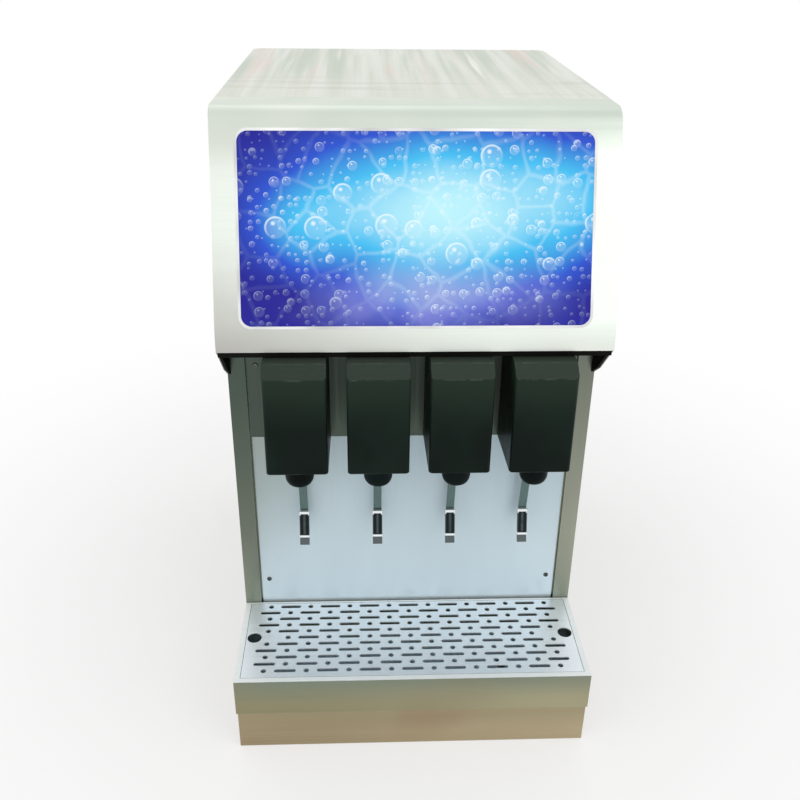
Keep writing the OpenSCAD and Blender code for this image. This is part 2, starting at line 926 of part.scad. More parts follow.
// Nozzle: mouth, bowl, barrel, concave flare, flange and neck
module nozzle(k) {
    spread = nozzle_flange_r - nozzle_r;
    flare_r = spread + flare_room;
    flare_a = acos(1 - spread / flare_r);
    flare_z = flange_top_z - flange_t - flare_r * sin(flare_a);
    mouth_top = nozzle_low_z + mouth_depth;
    bowl_low = [nozzle_r - bowl_w, nozzle_low_z];
    color("#16181a") from_front() translate([valve_x(k), nozzle_y, 0]) rotate_extrude() polygon(concat(
        [[0, mouth_top], [mouth_r, mouth_top], [mouth_r, nozzle_low_z]],
        [for (p = arc([0, 1], 1, -90, 0, curl_steps)) bowl_low + [bowl_w * p[0], bowl_h * p[1]]],
        arc([nozzle_r + flare_r, flare_z], flare_r, 180, 180 - flare_a, curl_steps),
        [[nozzle_flange_r, flange_top_z], [neck_r, flange_top_z], [neck_r, neck_top_z], [0, neck_top_z]]
    ));
}

// Local frame of a lever's push plate, as (Y, Z): X along it from the knee, Y towards the back
module on_plate() {
    translate(lever_knee) rotate(atan2(lever_run[1], lever_run[0])) children();
}

// Wall in front of the push plate, from one place along it to another
module plate_wall(from, to) {
    on_plate() translate([from, -lever_t / 2 - rail_d]) square([to - from, lever_t / 2 + rail_d]);
}

// Lever: boss on the pin, narrow arm, push plate with rails and lips, and tip, bent from one strip
module lever(k) {
    plate_l = norm(lever_run);
    color("#a6abad") from_front() translate([valve_x(k), 0, 0]) {
        difference() {
            union() {
                bar(pivot_y, pivot_z, -lever_w / 2, lever_w / 2, boss_r);
                across(-plate_w / 2, plate_w / 2) strip(lever_line, lever_t);
            }
            for (s = [-1, 1]) {
                translate([s * (lever_w + plate_w) / 2, pivot_y, (lever_knee[1] + pivot_z + boss_r) / 2])
                    cube([plate_w, lever_room, pivot_z + boss_r - lever_knee[1]], center = true);
            }
            bar(pivot_y, pivot_z, -lever_w, lever_w, pin_r + run_gap);
        }
        for (s = [-1, 1]) {
            x0 = s > 0 ? plate_w / 2 - rail_t : -plate_w / 2;
            across(x0, x0 + rail_t) plate_wall(0, plate_l);
        }
        across(-plate_w / 2, plate_w / 2) plate_wall(0, lip_h);
        across(-plate_w / 2, plate_w / 2) plate_wall(plate_l - lip_h, plate_l);
    }
}

// Push pad between the rails and lips of the lever's plate
module lever_pad(k) {
    pad_half = plate_w / 2 - rail_t - pad_gap;
    pad_start = lip_h + pad_gap;
    color("#101214") from_front() translate([valve_x(k), 0, 0]) across(-pad_half, pad_half)
        on_plate() translate([pad_start, -lever_t / 2 - pad_t])
        square([norm(lever_run) - 2 * pad_start, pad_t]);
}

module lever_pins() {
    color("#c4c8ca") from_front()
        for (k = [1 : valve_count]) {
            bar(pivot_y, pivot_z, valve_x(k) - ear_x - ear_t, valve_x(k) + ear_x + ear_t, pin_r);
        }
}

module lever_springs() {
    color("#8d9294") from_front()
        for (k = [1 : valve_count]) {
            x0 = valve_x(k) + lever_w / 2 + seat_gap;
            x1 = valve_x(k) + ear_x - seat_gap;
            difference() {
                bar(pivot_y, pivot_z, x0, x1, spring_r);
                bar(pivot_y, pivot_z, x0 - cut, x1 + cut, pin_r + seat_gap);
            }
        }
}

module valve_solenoids() {
    color("#b59a3c") from_front()
        for (k = [1 : valve_count], s = [-1, 1]) {
            x = valve_x(k) + s * solenoid_x;
            post(x, splash_y - solenoid_back, body_top_z, body_top_z + solenoid_h, solenoid_r);
        }
}

module microswitches() {
    y0 = pivot_y + micro_back;
    color("#2a2c2e") from_front()
        for (k = [1 : valve_count]) {
            x = valve_x(k);
            block([x - micro_w / 2, x + micro_w / 2], [y0, y0 + micro_d], [body_low_z - micro_h, body_low_z]);
        }
}

module flow_adjusters() {
    y1 = nozzle_y - body_half;
    z = (body_low_z + body_top_z) / 2;
    color("#c9a648") from_front()
        for (k = [1 : valve_count], s = [-1, 1]) {
            rod(valve_x(k) + s * adjuster_x, z, y1 - adjuster_l, y1, adjuster_r);
        }
}

// Cooling and carbonation

module water_bath() {
    color("#d8d8d0") from_front() difference() {
        block([-tank_half, tank_half], [tank_y, tank_y + tank_d], [deck_z, tank_top]);
        block(
            [-tank_half + tank_t, tank_half - tank_t],
            [tank_y + tank_t, tank_y + tank_d - tank_t],
            [deck_z + tank_t, tank_top + cut]
        );
    }
}

// Upright ring that stands in the water bath
module coil_ring(r, h) {
    z0 = deck_z + tank_t;
    difference() {
        post(coil_x, coil_y, z0, z0 + h, r);
        post(coil_x, coil_y, z0 - cut, z0 + h + cut, r - coil_wall);
    }
}

module evaporator_coil() {
    color("#b87333") from_front() coil_ring(coil_r, coil_h);
}

module product_coil() {
    color("#b8bcbe") from_front() coil_ring(coil_r - coil_space, coil_h - product_drop);
}

// Carbonator: hollow tank with a port on top
module carbonator() {
    z0 = deck_z + tank_t;
    z1 = z0 + carbonator_h;
    color("#c2c6c8") from_front() translate([carbonator_x, coil_y, 0]) difference() {
        union() {
            post(0, 0, z0, z1, carbonator_r);
            post(0, 0, z1, z1 + port_h, port_r);
        }
        post(0, 0, z0 + carbonator_wall, z1 - carbonator_wall, carbonator_r - carbonator_wall);
        post(0, 0, z1 - carbonator_wall - cut, z1 + port_h + cut, port_bore);
    }
}

module refrigeration_deck() {
    rack_half = half_w - sheet_t - rack_gap;
    rack_back = machine_d - 2 * sheet_t - rack_back_gap;
    color("#9a9d97") from_front() difference() {
        block([-rack_half, rack_half], [tank_y, rack_back], [tank_top, rack_z]);
        post(coil_x, coil_y, tank_top - cut, rack_z + cut, shaft_r + shaft_room);
    }
}

module agitator_motor() {
    color("#3a3d3f") from_front() translate([coil_x, coil_y, 0]) difference() {
        union() {
            post(0, 0, rack_z, rack_z + motor_flange_t, motor_r + motor_flange);
            post(0, 0, rack_z, rack_z + motor_h, motor_r);
        }
        post(0, 0, rack_z - cut, rack_z + shaft_in + seat_gap, shaft_r + run_gap);
    }
}

module agitator_impeller() {
    color("#c4c8ca") from_front() translate([coil_x, coil_y, 0]) {
        post(0, 0, stirrer_z, rack_z + shaft_in, shaft_r);
        post(0, 0, stirrer_z - stirrer_nose, stirrer_z + stirrer_h, shaft_r + stirrer_hub);
        for (a = [0 : 120 : 240]) {
            rotate([0, 0, a])
                block([0, stirrer_r], [-stirrer_t / 2, stirrer_t / 2], [stirrer_z, stirrer_z + stirrer_h]);
        }
    }
}

// Compressor: hollow shell on four feet, with a port in its cap
module compressor() {
    z0 = rack_z + compressor_foot_h;
    z1 = rack_z + compressor_h;
    foot_at = compressor_r - compressor_foot_in;
    color("#17191a") from_front() translate([compressor_x, coil_y, 0]) {
        difference() {
            union() {
                post(0, 0, z0, z1, compressor_r);
                post(0, 0, z1, z1 + compressor_cap_h, compressor_r - compressor_cap);
            }
            post(0, 0, z0 + compressor_wall, z1 - compressor_wall, compressor_r - compressor_wall);
            post(0, 0, z1 - compressor_wall - cut, z1 + compressor_cap_h + cut, port_bore);
        }
        for (a = [45 : 90 : 315]) {
            post(foot_at * cos(a), foot_at * sin(a), rack_z, z0, compressor_foot_r);
        }
    }
}

module condenser() {
    cond_half = fan_r + condenser_lip;
    cond_top = fan_z + fan_r + condenser_lip;
    fin_count = floor(2 * cond_half / fin_pitch) - 1;
    color("#6f7476") from_front() difference() {
        block(
            [fan_x - cond_half, fan_x + cond_half],
            [condenser_y, condenser_y + condenser_t],
            [rack_z, cond_top]
        );
        for (i = [1 : fin_count]) {
            x = fan_x - cond_half + i * fin_pitch;
            block(
                [x, x + fin_pitch - fin_t],
                [condenser_y - cut, condenser_y + fin_depth],
                [rack_z + fin_margin, cond_top - fin_margin]
            );
        }
    }
}

module fan_motor() {
    y0 = fan_y - fan_motor_gap - fan_motor_l;
    y1 = fan_y - fan_motor_gap;
    color("#3a3d3f") from_front() {
        rod(fan_x, fan_z, y0, y1, fan_motor_r);
        rod(fan_x, fan_z, y1, fan_y + fan_t - fan_cap, fan_shaft_r);
        block(
            [fan_x - bracket_w / 2, fan_x + bracket_w / 2],
            [y0 + bracket_inset, y1 - bracket_inset],
            [rack_z, fan_z]
        );
    }
}

module fan_blade() {
    color("#55595b") from_front() difference() {
        union() {
            rod(fan_x, fan_z, fan_y, fan_y + fan_t, fan_hub_r);
            for (i = [0 : blade_count - 1]) {
                translate([fan_x, fan_y + fan_t / 2, fan_z]) rotate([0, i * 360 / blade_count, 0])
                    rotate([blade_pitch, 0, 0])
                    translate([fan_hub_r - blade_root, -blade_t / 2, -blade_chord / 2])
                    cube([fan_r - fan_hub_r, blade_t, blade_chord]);
            }
        }
        rod(fan_x, fan_z, fan_y - cut, fan_y + fan_t - fan_cap + seat_gap, fan_shaft_r + run_gap);
    }
}

module pump_motor() {
    color("#4a4e50") from_front() {
        bar(pump_y, pump_z, -pump_l, 0, pump_r);
        bar(pump_y, pump_z, 0, pump_head_l, pump_head_r);
        block(
            [-pump_l + pump_foot_inset, -pump_foot_inset],
            [pump_y - pump_foot_w / 2, pump_y + pump_foot_w / 2],
            [deck_z, pump_z]
        );
    }
}

// Connections

module inlet_stubs() {
    tip_y = face_y + stub_collar_t + stub_l;
    color("#c9a648") from_front()
        for (i = [0 : stub_count - 1]) {
            x = stub_x0 + (i % stub_columns) * stub_column;
            z = stub_z + floor(i / stub_columns) * stub_pitch;
            difference() {
                union() {
                    rod(x, z, face_y, face_y + stub_collar_t, stub_collar_r);
                    rod(x, z, face_y, tip_y, stub_r);
                }
                rod(x, z, face_y + stub_collar_t, tip_y + cut, stub_r - stub_wall);
            }
        }
}

// Upright block on the connection plate, from its middle and its size as (X, Z)
module on_face(x, size, y0, y1) {
    block([x - size[0] / 2, x + size[0] / 2], [y0, y1], [inlet_z - size[1] / 2, inlet_z + size[1] / 2]);
}

// Mains inlet and the frame of the rocker switch on one plate
module power_inlet() {
    plate_x0 = inlet_x - inlet_size[0] / 2 - inlet_margin;
    plate_x1 = switch_x + switch_size[0] / 2 + switch_margin;
    front_y = face_y + inlet_depth;
    plate_size = [plate_x1 - plate_x0, inlet_plate_h];
    rocker_size = [rocker_w + 2 * seat_gap, 2 * (rocker_r + seat_gap)];
    color("#202224") from_front() difference() {
        union() {
            on_face((plate_x0 + plate_x1) / 2, plate_size, face_y, face_y + inlet_t);
            on_face(inlet_x, inlet_size, face_y, front_y);
            on_face(switch_x, switch_size, face_y, front_y);
        }
        on_face(inlet_x, socket_size, face_y + inlet_t, front_y + cut);
        on_face(switch_x, rocker_size, face_y + rocker_sink, front_y + cut);
    }
}

module power_switch() {
    pivot = [face_y + inlet_depth - rocker_sink, inlet_z];
    color("#8c1f1f") from_front() across(switch_x - rocker_w / 2, switch_x + rocker_w / 2) intersection() {
        translate(pivot) circle(r = rocker_r);
        translate(pivot - [rocker_back, rocker_r]) square([rocker_back + rocker_front, 2 * rocker_r]);
    }
}

module thermostat_knob() {
    back_y = face_y + seat_gap;
    front_y = back_y + knob_t;
    color("#1b1d1f") from_front() difference() {
        rod(knob_x, inlet_z, back_y, front_y, knob_r);
        rod(knob_x, inlet_z, back_y - cut, front_y - knob_cap + seat_gap, knob_shaft_r + run_gap);
        block(
            [knob_x - knob_mark_w / 2, knob_x + knob_mark_w / 2],
            [front_y - knob_mark_t, front_y + cut],
            [inlet_z + knob_mark_in, inlet_z + knob_r + cut]
        );
    }
}

base_pan();
rubber_feet();
left_side_panel();
right_side_panel();
back_panel();
connection_plate();
top_lid();
front_fascia();
panel_trim();
light_panel();
light_box();
led_strips();
chin_valance();
valve_plate();
splash_panel();
panel_screws();
drip_tray();
drip_grille();
drain_outlet();
for (k = [1 : valve_count]) {
    valve_cover(k);
    valve_body(k);
    nozzle(k);
    lever(k);
    lever_pad(k);
}
lever_pins();
lever_springs();
valve_solenoids();
microswitches();
flow_adjusters();
water_bath();
evaporator_coil();
product_coil();
carbonator();
agitator_motor();
agitator_impeller();
refrigeration_deck();
compressor();
condenser();
fan_motor();
fan_blade();
pump_motor();
inlet_stubs();
power_inlet();
power_switch();
thermostat_knob();
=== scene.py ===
"""Looks of a counter-top soda fountain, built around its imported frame.

Sizes are in metres and in the frame's own axes: X across, Y from the front to the back, Z up.
"""

import json
import math

import bmesh
import bpy
from bpy.props import FloatProperty, FloatVectorProperty, IntProperty, PointerProperty
from mathutils import Matrix, Vector

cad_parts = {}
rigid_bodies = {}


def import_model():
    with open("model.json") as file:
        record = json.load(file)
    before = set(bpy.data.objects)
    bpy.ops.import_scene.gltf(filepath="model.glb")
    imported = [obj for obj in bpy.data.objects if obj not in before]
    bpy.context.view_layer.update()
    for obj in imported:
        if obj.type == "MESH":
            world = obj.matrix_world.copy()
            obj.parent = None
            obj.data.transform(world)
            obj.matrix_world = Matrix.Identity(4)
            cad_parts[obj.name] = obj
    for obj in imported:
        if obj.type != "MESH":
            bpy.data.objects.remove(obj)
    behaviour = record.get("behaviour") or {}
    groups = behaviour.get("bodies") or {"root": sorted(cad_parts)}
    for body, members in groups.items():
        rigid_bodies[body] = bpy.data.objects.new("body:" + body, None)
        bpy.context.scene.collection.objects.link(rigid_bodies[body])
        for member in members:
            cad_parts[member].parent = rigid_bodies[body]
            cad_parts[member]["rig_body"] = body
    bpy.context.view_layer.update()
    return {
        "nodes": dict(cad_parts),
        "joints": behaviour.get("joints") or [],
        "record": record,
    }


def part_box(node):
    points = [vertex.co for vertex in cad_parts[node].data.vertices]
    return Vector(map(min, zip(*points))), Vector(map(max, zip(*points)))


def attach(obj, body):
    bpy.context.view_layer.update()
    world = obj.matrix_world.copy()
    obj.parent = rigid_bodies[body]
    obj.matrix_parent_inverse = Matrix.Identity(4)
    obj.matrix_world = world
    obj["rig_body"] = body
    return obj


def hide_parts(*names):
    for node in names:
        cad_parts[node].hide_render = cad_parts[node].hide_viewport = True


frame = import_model()

bl_info = {
    "name": "Soda fountain looks",
    "version": (1, 0, 0),
    "blender": (4, 5, 0),
    "location": "View3D > Sidebar > Soda fountain",
    "description": "Finishes, fittings and stage of a counter-top soda fountain",
    "category": "Object",
}

MM = 0.001
VALVES = (1, 2, 3, 4)
SLOTS = {part["node"]: part["material_slot"] for part in frame["record"]["subparts"]}
MOUNTS = {mount["name"]: mount for mount in frame["record"]["mounts"]}
JOINTS = {joint["name"]: joint for joint in frame["joints"]}

# Copies of the frame's meshes: welds, slivers, flat and sharp angles, and the mark of a rounded edge
WELD = 1e-6
SLIVER = 4e-6
FLAT = math.radians(0.4)
SHARP = math.radians(26)
EDGE_MARK = "eased_edge"

# Slope of the head's front, from the vertical
HEAD_SLANT = math.radians(18.9)
UP_SLOPE = Vector((0, math.sin(HEAD_SLANT), math.cos(HEAD_SLANT)))

# Drops of a lever's knee and heel below its pin, and the height of the lips of its plate, which carry a
# painted highlight
KNEE_DROP = 112 * MM
HEEL_DROP = 144.5 * MM
LIP_HEIGHT = 3.8 * MM

# Directions of the brushed grain: stretch of its fine streaks and of its broad bands
ALONG_X = ((14, 1700, 1700), (1.5, 16, 16))
ALONG_Y = ((1700, 14, 1700), (16, 1.5, 16))
ALONG_Z = ((1700, 1700, 14), (16, 16, 1.5))

UP = Vector((0, 0, 1))
TO_FRONT = Vector((0, -1, 0))
TO_BACK = Vector((0, 1, 0))

# Screw heads and their sockets, in shares of the head's radius and height
HEAD_TAPER = 0.8
SOCKET_RIM = 0.38
SOCKET_WALL = 0.06
SOCKET_DEPTH = 0.6

# Back panel: widths of its slots, turn of their blades, and places of its screws
SLOT_WIDTHS = (0.1, 0.2)
BLADE_TURN = math.radians(70)
BLADE_STEPS = 6
BACK_SCREW_INSET = 24 * MM
BACK_SCREW_SHARES = (0.06, 0.5, 0.94)

# Parts of a unit normal that count as facing up, as a sill, to the front and to a side
FACES_UP = 0.4
SILL_UP = 0.9
FACES_FRONT = -0.7
FACES_SIDE = 0.5

# Depth of the drip tray's rim band, whose upper faces get a painted light colour
RIM_BAND = 6 * MM

# Push pads: raised field and the reach of the paler streak painted along the middle as a reflection
PAD_MARGIN = 2.6 * MM
PAD_STEP = 0.4 * MM
PAD_EDGE = 0.2 * MM
PAD_STREAK = 2.6 * MM

# Hose barbs: count, radii in shares of the stub's, and length in shares of the step
BARBS = 3
BARB_RADII = (1.2, 0.98)
BARB_LENGTH = 0.85

# Knob: taper, flutes, rim and dish
KNOB_TAPER = 0.92
FLUTE_INSET = 0.4 * MM
FLUTE_DEPTH = 0.6 * MM
KNOB_RIM = 1.6 * MM
DISH_STEP = 0.8 * MM

# Pointer on the knob; its end is a share of the knob's radius
POINTER_HALF = 1 * MM
POINTER_START = 3 * MM
POINTER_END = 0.74
POINTER_SINK = 0.9 * MM
POINTER_HEIGHT = 0.6 * MM
POINTER_EDGE = 0.2 * MM

# Marks round the knob; the sweep is in degrees
MARKS = 11
MARK_SWEEP = 270
MARK_LONG_EVERY = 5
MARK_GAP = 2 * MM
MARK_LONG = 4 * MM
MARK_SHORT = 2.5 * MM
MARK_HALF = 0.4 * MM
MARK_HEIGHT = 0.3 * MM
MARK_EDGE = 0.1 * MM

# Pins of the mains inlet
PIN_PLACES = ((-7 * MM, -1.5 * MM), (7 * MM, -1.5 * MM), (0, 3 * MM))
PIN_HALF = Vector((1 * MM, 0, 2 * MM))
PIN_START = 0.5 * MM
PIN_LENGTH = Vector((0, 11 * MM, 0))
PIN_EDGE = 0.3 * MM

# Stage: floor, light of the room, and lamps with their place, size and power
FLOOR_HALF = 8.0
ROOM_LIGHT = 0.84
LAMP_AIM = (0, 0, 0.4)
LAMPS = (
    ("key", (1.8, -2.2, 1.9), 2.2, 12),
    ("fill", (-2.0, -1.6, 1.4), 1.6, 7),
    ("crown", (0, 1.2, 2.8), 1.6, 3),
)

# Camera of the photograph; its focus and image are in pixels, its sensor in millimetres
CAMERA_PLACE = Vector((-0.0594, -1.1777, 0.9347))
CAMERA_YAW = math.radians(2.564)
CAMERA_PITCH = math.radians(27.307)
CAMERA_ROLL = math.radians(0.727)
CAMERA_FOCUS = 929.3
IMAGE_SIZE = 800
SENSOR = 36.0


def srgb(red, green, blue):
    """Linear colour of a screen colour, given from 0 to 255."""

    def linear(value):
        share = value / 255
        return share / 12.92 if share <= 0.04045 else ((share + 0.055) / 1.055) ** 2.4

    return (linear(red), linear(green), linear(blue))


def colour_prop(name, description, colour):
    """A colour that a user may change."""
    return FloatVectorProperty(
        name=name, description=description, default=colour, min=0, max=1, size=3, subtype="COLOR"
    )


def length_prop(name, description, size):
    """A length that a user may change."""
    return FloatProperty(
        name=name, description=description, default=size, min=0, precision=5,
        unit="LENGTH", subtype="DISTANCE",
    )


class FountainColours(bpy.types.PropertyGroup):
    """Colours of the sheets, mouldings and the lit panel."""

    fascia: colour_prop("Fascia", "Pale sheet of the head's front", srgb(238, 245, 237))
    lid: colour_prop("Lid", "Sheet of the lid", srgb(214, 218, 206))
    cabinet: colour_prop("Cabinet", "Sheet of the sides, posts and back", srgb(116, 126, 116))
    # Darker than the cabinet sheet: painted shade under the head.
    post: colour_prop("Post", "Sheet of the two front posts", srgb(80, 92, 83))
    base: colour_prop("Base", "Warm sheet of the base", srgb(172, 157, 127))
    tray: colour_prop("Tray", "Sheet of the drip tray's skirt", srgb(152, 147, 117))
    # Painted light: the tray's upper faces get a near white copy of its sheet.
    rim: colour_prop("Tray rim", "Bright upper faces of the drip tray", srgb(242, 247, 247))
    grille: colour_prop("Grille", "Bright sheet of the grille", srgb(237, 245, 250))
    splash: colour_prop("Splash", "Bright sheet behind the levers", srgb(184, 203, 210))
    # The dark grey is painted shade under the head on a stainless sheet.
    valve_plate: colour_prop("Valve plate", "Grey sheet behind the valves", srgb(78, 88, 80))
    cover: colour_prop("Cover", "Black moulding of the valve covers", srgb(14, 26, 21))
    nozzle: colour_prop("Nozzle", "Black moulding of the nozzles", srgb(10, 20, 19))
    panel_deep: colour_prop("Panel deep", "Darkest colour of the lit panel", srgb(40, 36, 148))
    panel_blue: colour_prop("Panel blue", "Middle colour of the lit panel", srgb(48, 86, 206))
    panel_cyan: colour_prop("Panel cyan", "Bright colour of the lit panel", srgb(72, 190, 240))
    panel_pale: colour_prop("Panel pale", "Palest colour of the lit panel", srgb(196, 246, 252))


class FountainSizes(bpy.types.PropertyGroup):
    """Sizes of the finish and of the small fittings that the frame doesn't hold."""

    sheet_edge: length_prop("Sheet edge", "Radius of a sheet's eased edge", 0.5 * MM)
    moulding_edge: length_prop("Moulding edge", "Radius of a moulding's edge", 1.4 * MM)
    hole_edge: length_prop("Hole edge", "Radius of the grille's punched edges", 0.25 * MM)
    small_edge: length_prop("Small edge", "Radius of the edges of small fittings", 0.35 * MM)
    blade_rise: length_prop("Blade rise", "Radius of a louvre's curved blade", 5 * MM)
    blade_wall: length_prop("Blade wall", "Thickness of a louvre's blade", 1 * MM)
    screw_radius: length_prop("Screw radius", "Radius of a sheet screw's head", 3.3 * MM)
    screw_height: length_prop("Screw height", "Height of a sheet screw's head", 1.4 * MM)
    pad_rib: length_prop("Pad rib", "Height of the raised field on a push pad", 0.5 * MM)
    barb_step: length_prop("Barb step", "Distance between the barbs of a hose stub", 4.5 * MM)
    knob_flutes: IntProperty(
        name="Knob flutes", description="Grip flutes round the knob", default=18, min=6, max=60
    )


# Nodes and groups of the materials


def put(tree, socket, value):
    """Links a socket to an input, or sets the input's own value."""
    if isinstance(value, bpy.types.NodeSocket):
        tree.links.new(value, socket)
    elif socket.type == "RGBA" and len(value) == 3:
        socket.default_value = (*value, 1)
    else:
        socket.default_value = value


def put_all(tree, node, inputs):
    """Links or sets several inputs of a node."""
    for key, value in inputs.items():
        put(tree, node.inputs[key], value)


def add(tree, kind, inputs=None, **settings):
    """A new node with its settings and its inputs."""
    node = tree.nodes.new(kind)
    for name, value in settings.items():
        setattr(node, name, value)
    put_all(tree, node, inputs or {})
    return node


def calc(tree, operation, first, second=0.0, clamp=False):
    """Value that comes from two values."""
    inputs = {0: first, 1: second}
    return add(tree, "ShaderNodeMath", inputs, operation=operation, use_clamp=clamp).outputs[0]


def times(tree, first, second):
    """Product of two values."""
    return calc(tree, "MULTIPLY", first, second)


def axis(tree, place, index):
    """One coordinate of a place: 0 across, 1 to the back, 2 up."""
    return add(tree, "ShaderNodeSeparateXYZ", {0: place}).outputs[index]


def vector_calc(tree, operation, first, second=(0, 0, 0)):
    """Vector that comes from two vectors."""
    return add(tree, "ShaderNodeVectorMath", {0: first, 1: second}, operation=operation).outputs["Vector"]


def vector_value(tree, operation, first, second=(0, 0, 0)):
    """Value that comes from two vectors."""
    return add(tree, "ShaderNodeVectorMath", {0: first, 1: second}, operation=operation).outputs["Value"]


def fade(tree, value, low, high, to_low=0.0, to_high=1.0):
    """A value that goes smoothly from one bound to the other."""
    inputs = {"Value": value, "From Min": low, "From Max": high, "To Min": to_low, "To Max": to_high}
    return add(tree, "ShaderNodeMapRange", inputs, interpolation_type="SMOOTHSTEP").outputs[0]


def mix(tree, share, first, second):
    """Colour between two colours."""
    return add(tree, "ShaderNodeMix", {0: share, 6: first, 7: second}, data_type="RGBA").outputs[2]


def noise(tree, place, scale, detail=3.0, roughness=0.55):
    """Value of a noise at a place."""
    inputs = {"Vector": place, "Scale": scale, "Detail": detail, "Roughness": roughness}
    return add(tree, "ShaderNodeTexNoise", inputs).outputs[0]


def new_group(name, inputs, outputs):
    """A shader group with its sockets: the group, its inputs and its outputs."""
    group = bpy.data.node_groups.new(name, "ShaderNodeTree")
    for label, kind in inputs:
        group.interface.new_socket(name=label, in_out="INPUT", socket_type=kind)
    for label, kind in outputs:
        group.interface.new_socket(name=label, in_out="OUTPUT", socket_type=kind)
    return group, group.nodes.new("NodeGroupInput").outputs, group.nodes.new("NodeGroupOutput").inputs


def brushed_grain():
    """Group: fine streaks along the sheet's grain and broad soft bands with them."""
    vectors = [(label, "NodeSocketVector") for label in ("Place", "Fine", "Broad")]
    masks = [(label, "NodeSocketFloat") for label in ("Streak", "Band")]
    group, ins, outs = new_group("BrushedGrain", vectors, masks)
    fine = vector_calc(group, "MULTIPLY", ins["Place"], ins["Fine"])
    broad = vector_calc(group, "MULTIPLY", ins["Place"], ins["Broad"])
    wider = vector_calc(group, "MULTIPLY", fine, (0.2, 0.2, 0.2))
    coarse = fade(group, noise(group, wider, 1.0, 3.0), 0.3, 0.7)
    both = calc(group, "ADD", noise(group, fine, 1.0, 4.0, 0.65), coarse)
    put(group, outs["Streak"], times(group, both, 0.5))
    put(group, outs["Band"], fade(group, noise(group, broad, 1.0, 2.0), 0.3, 0.7))
    return group


def place_mask_group(name, output):
    """A group that turns a place into one mask: the group, the place and the mask's socket."""
    group, ins, outs = new_group(name, [("Place", "NodeSocketVector")], [(output, "NodeSocketFloat")])
    return group, ins["Place"], outs[output]


def handling_marks():
    """Group: soft smudges left by hands and cloths."""
    group, place, smudge = place_mask_group("HandlingMarks", "Smudge")
    blots = fade(group, noise(group, place, 9.0, 5.0, 0.6), 0.45, 0.75)
    wipes = fade(group, noise(group, place, 32.0, 3.0), 0.4, 0.8)
    put(group, smudge, times(group, blots, wipes))
    return group


def settled_dust():
    """Group: thin dust on surfaces that face up."""
    group, place, dust = place_mask_group("SettledDust", "Dust")
    normal = group.nodes.new("ShaderNodeNewGeometry").outputs["Normal"]
    upward = fade(group, vector_value(group, "DOT_PRODUCT", normal, UP), 0.5, 1.0)
    specks = fade(group, noise(group, place, 340.0, 4.0, 0.7), 0.3, 0.75, 0.72, 1.0)
    put(group, dust, times(group, upward, specks))
    return group


def painted_edge_glint():
    """Group: patches on the rounded edges that a piece marks, where a lighter colour is painted as a
    highlight.
    """
    group, place, edge_glint = place_mask_group("PaintedEdgeGlint", "Glint")
    edge = add(group, "ShaderNodeAttribute", attribute_name=EDGE_MARK).outputs["Fac"]
    glint_patches = fade(group, noise(group, place, 75.0, 4.0, 0.6), 0.42, 0.66)
    put(group, edge_glint, times(group, edge, glint_patches))
    return group


GROUPS = {}


def group_outputs(tree, maker, **inputs):
    """Outputs of a shared group placed in a tree; the group is built when it is first needed."""
    if maker.__name__ not in GROUPS:
        GROUPS[maker.__name__] = maker()
    return add(tree, "ShaderNodeGroup", inputs, node_tree=GROUPS[maker.__name__]).outputs


def new_material(name):
    """A material with a plain shader: the material, its tree, the shader and the place on the piece."""
    material = bpy.data.materials.new(name)
    material.use_nodes = True
    tree = material.node_tree
    tree.nodes.clear()
    shader = tree.nodes.new("ShaderNodeBsdfPrincipled")
    put(tree, tree.nodes.new("ShaderNodeOutputMaterial").inputs[0], shader.outputs[0])
    return material, tree, shader, tree.nodes.new("ShaderNodeTexCoord").outputs["Object"]


def bump(tree, shader, height, strength, depth):
    """Bump on a shader's normal."""
    inputs = {"Height": height, "Strength": strength, "Distance": depth}
    put(tree, shader.inputs["Normal"], add(tree, "ShaderNodeBump", inputs).outputs[0])


def scaled(colour, share):
    """A colour made lighter or darker, within bounds."""
    return tuple(min(1.0, channel * share) for channel in colour)


# Finishes


def leaning(tree, place, shade, leans):
    """Colour that takes on the painted light or shade of each lean: a direction, two distances along it and
    the colour.
    """
    for along, start, end, other in leans:
        share = fade(tree, vector_value(tree, "DOT_PRODUCT", place, along), start, end)
        shade = mix(tree, share, shade, other)
    return shade


def sheet_steel(name, colour, grain, roughness=0.3, contrast=0.08, metallic=1.0, warm=None, leans=()):
    """Brushed sheet: streaks and broad bands along its grain, smudges, a warm cast in soft patches, colours
    painted by its leans, and a painted highlight in patches on its rounded edges.
    """
    material, tree, shader, place = new_material(name)
    streaks = group_outputs(tree, brushed_grain, Place=place, Fine=grain[0], Broad=grain[1])
    smudge = group_outputs(tree, handling_marks, Place=place)["Smudge"]
    edge_glint = group_outputs(tree, painted_edge_glint, Place=place)["Glint"]
    shade = mix(tree, streaks["Streak"], scaled(colour, 1 - contrast), scaled(colour, 1 + contrast))
    shade = leaning(tree, place, shade, leans)
    if warm:
        shade = mix(tree, fade(tree, noise(tree, place, 5.0, 2.0), 0.45, 0.7, 0.0, 0.6), shade, warm)
    dim = times(tree, streaks["Band"], contrast * 1.4)
    shade = mix(tree, dim, shade, scaled(colour, 0.35))
    # Painted highlight: lighter patches on the rounded edges.
    shade = mix(tree, times(tree, edge_glint, 0.35), shade, srgb(236, 238, 236))
    rough = fade(tree, streaks["Streak"], 0.2, 0.8, roughness - 0.05, roughness + 0.06)
    rough = calc(tree, "ADD", rough, times(tree, smudge, 0.1))
    put_all(tree, shader, {"Base Color": shade, "Metallic": metallic, "Roughness": rough})
    bump(tree, shader, streaks["Streak"], 0.1, 0.04 * MM)
    return material


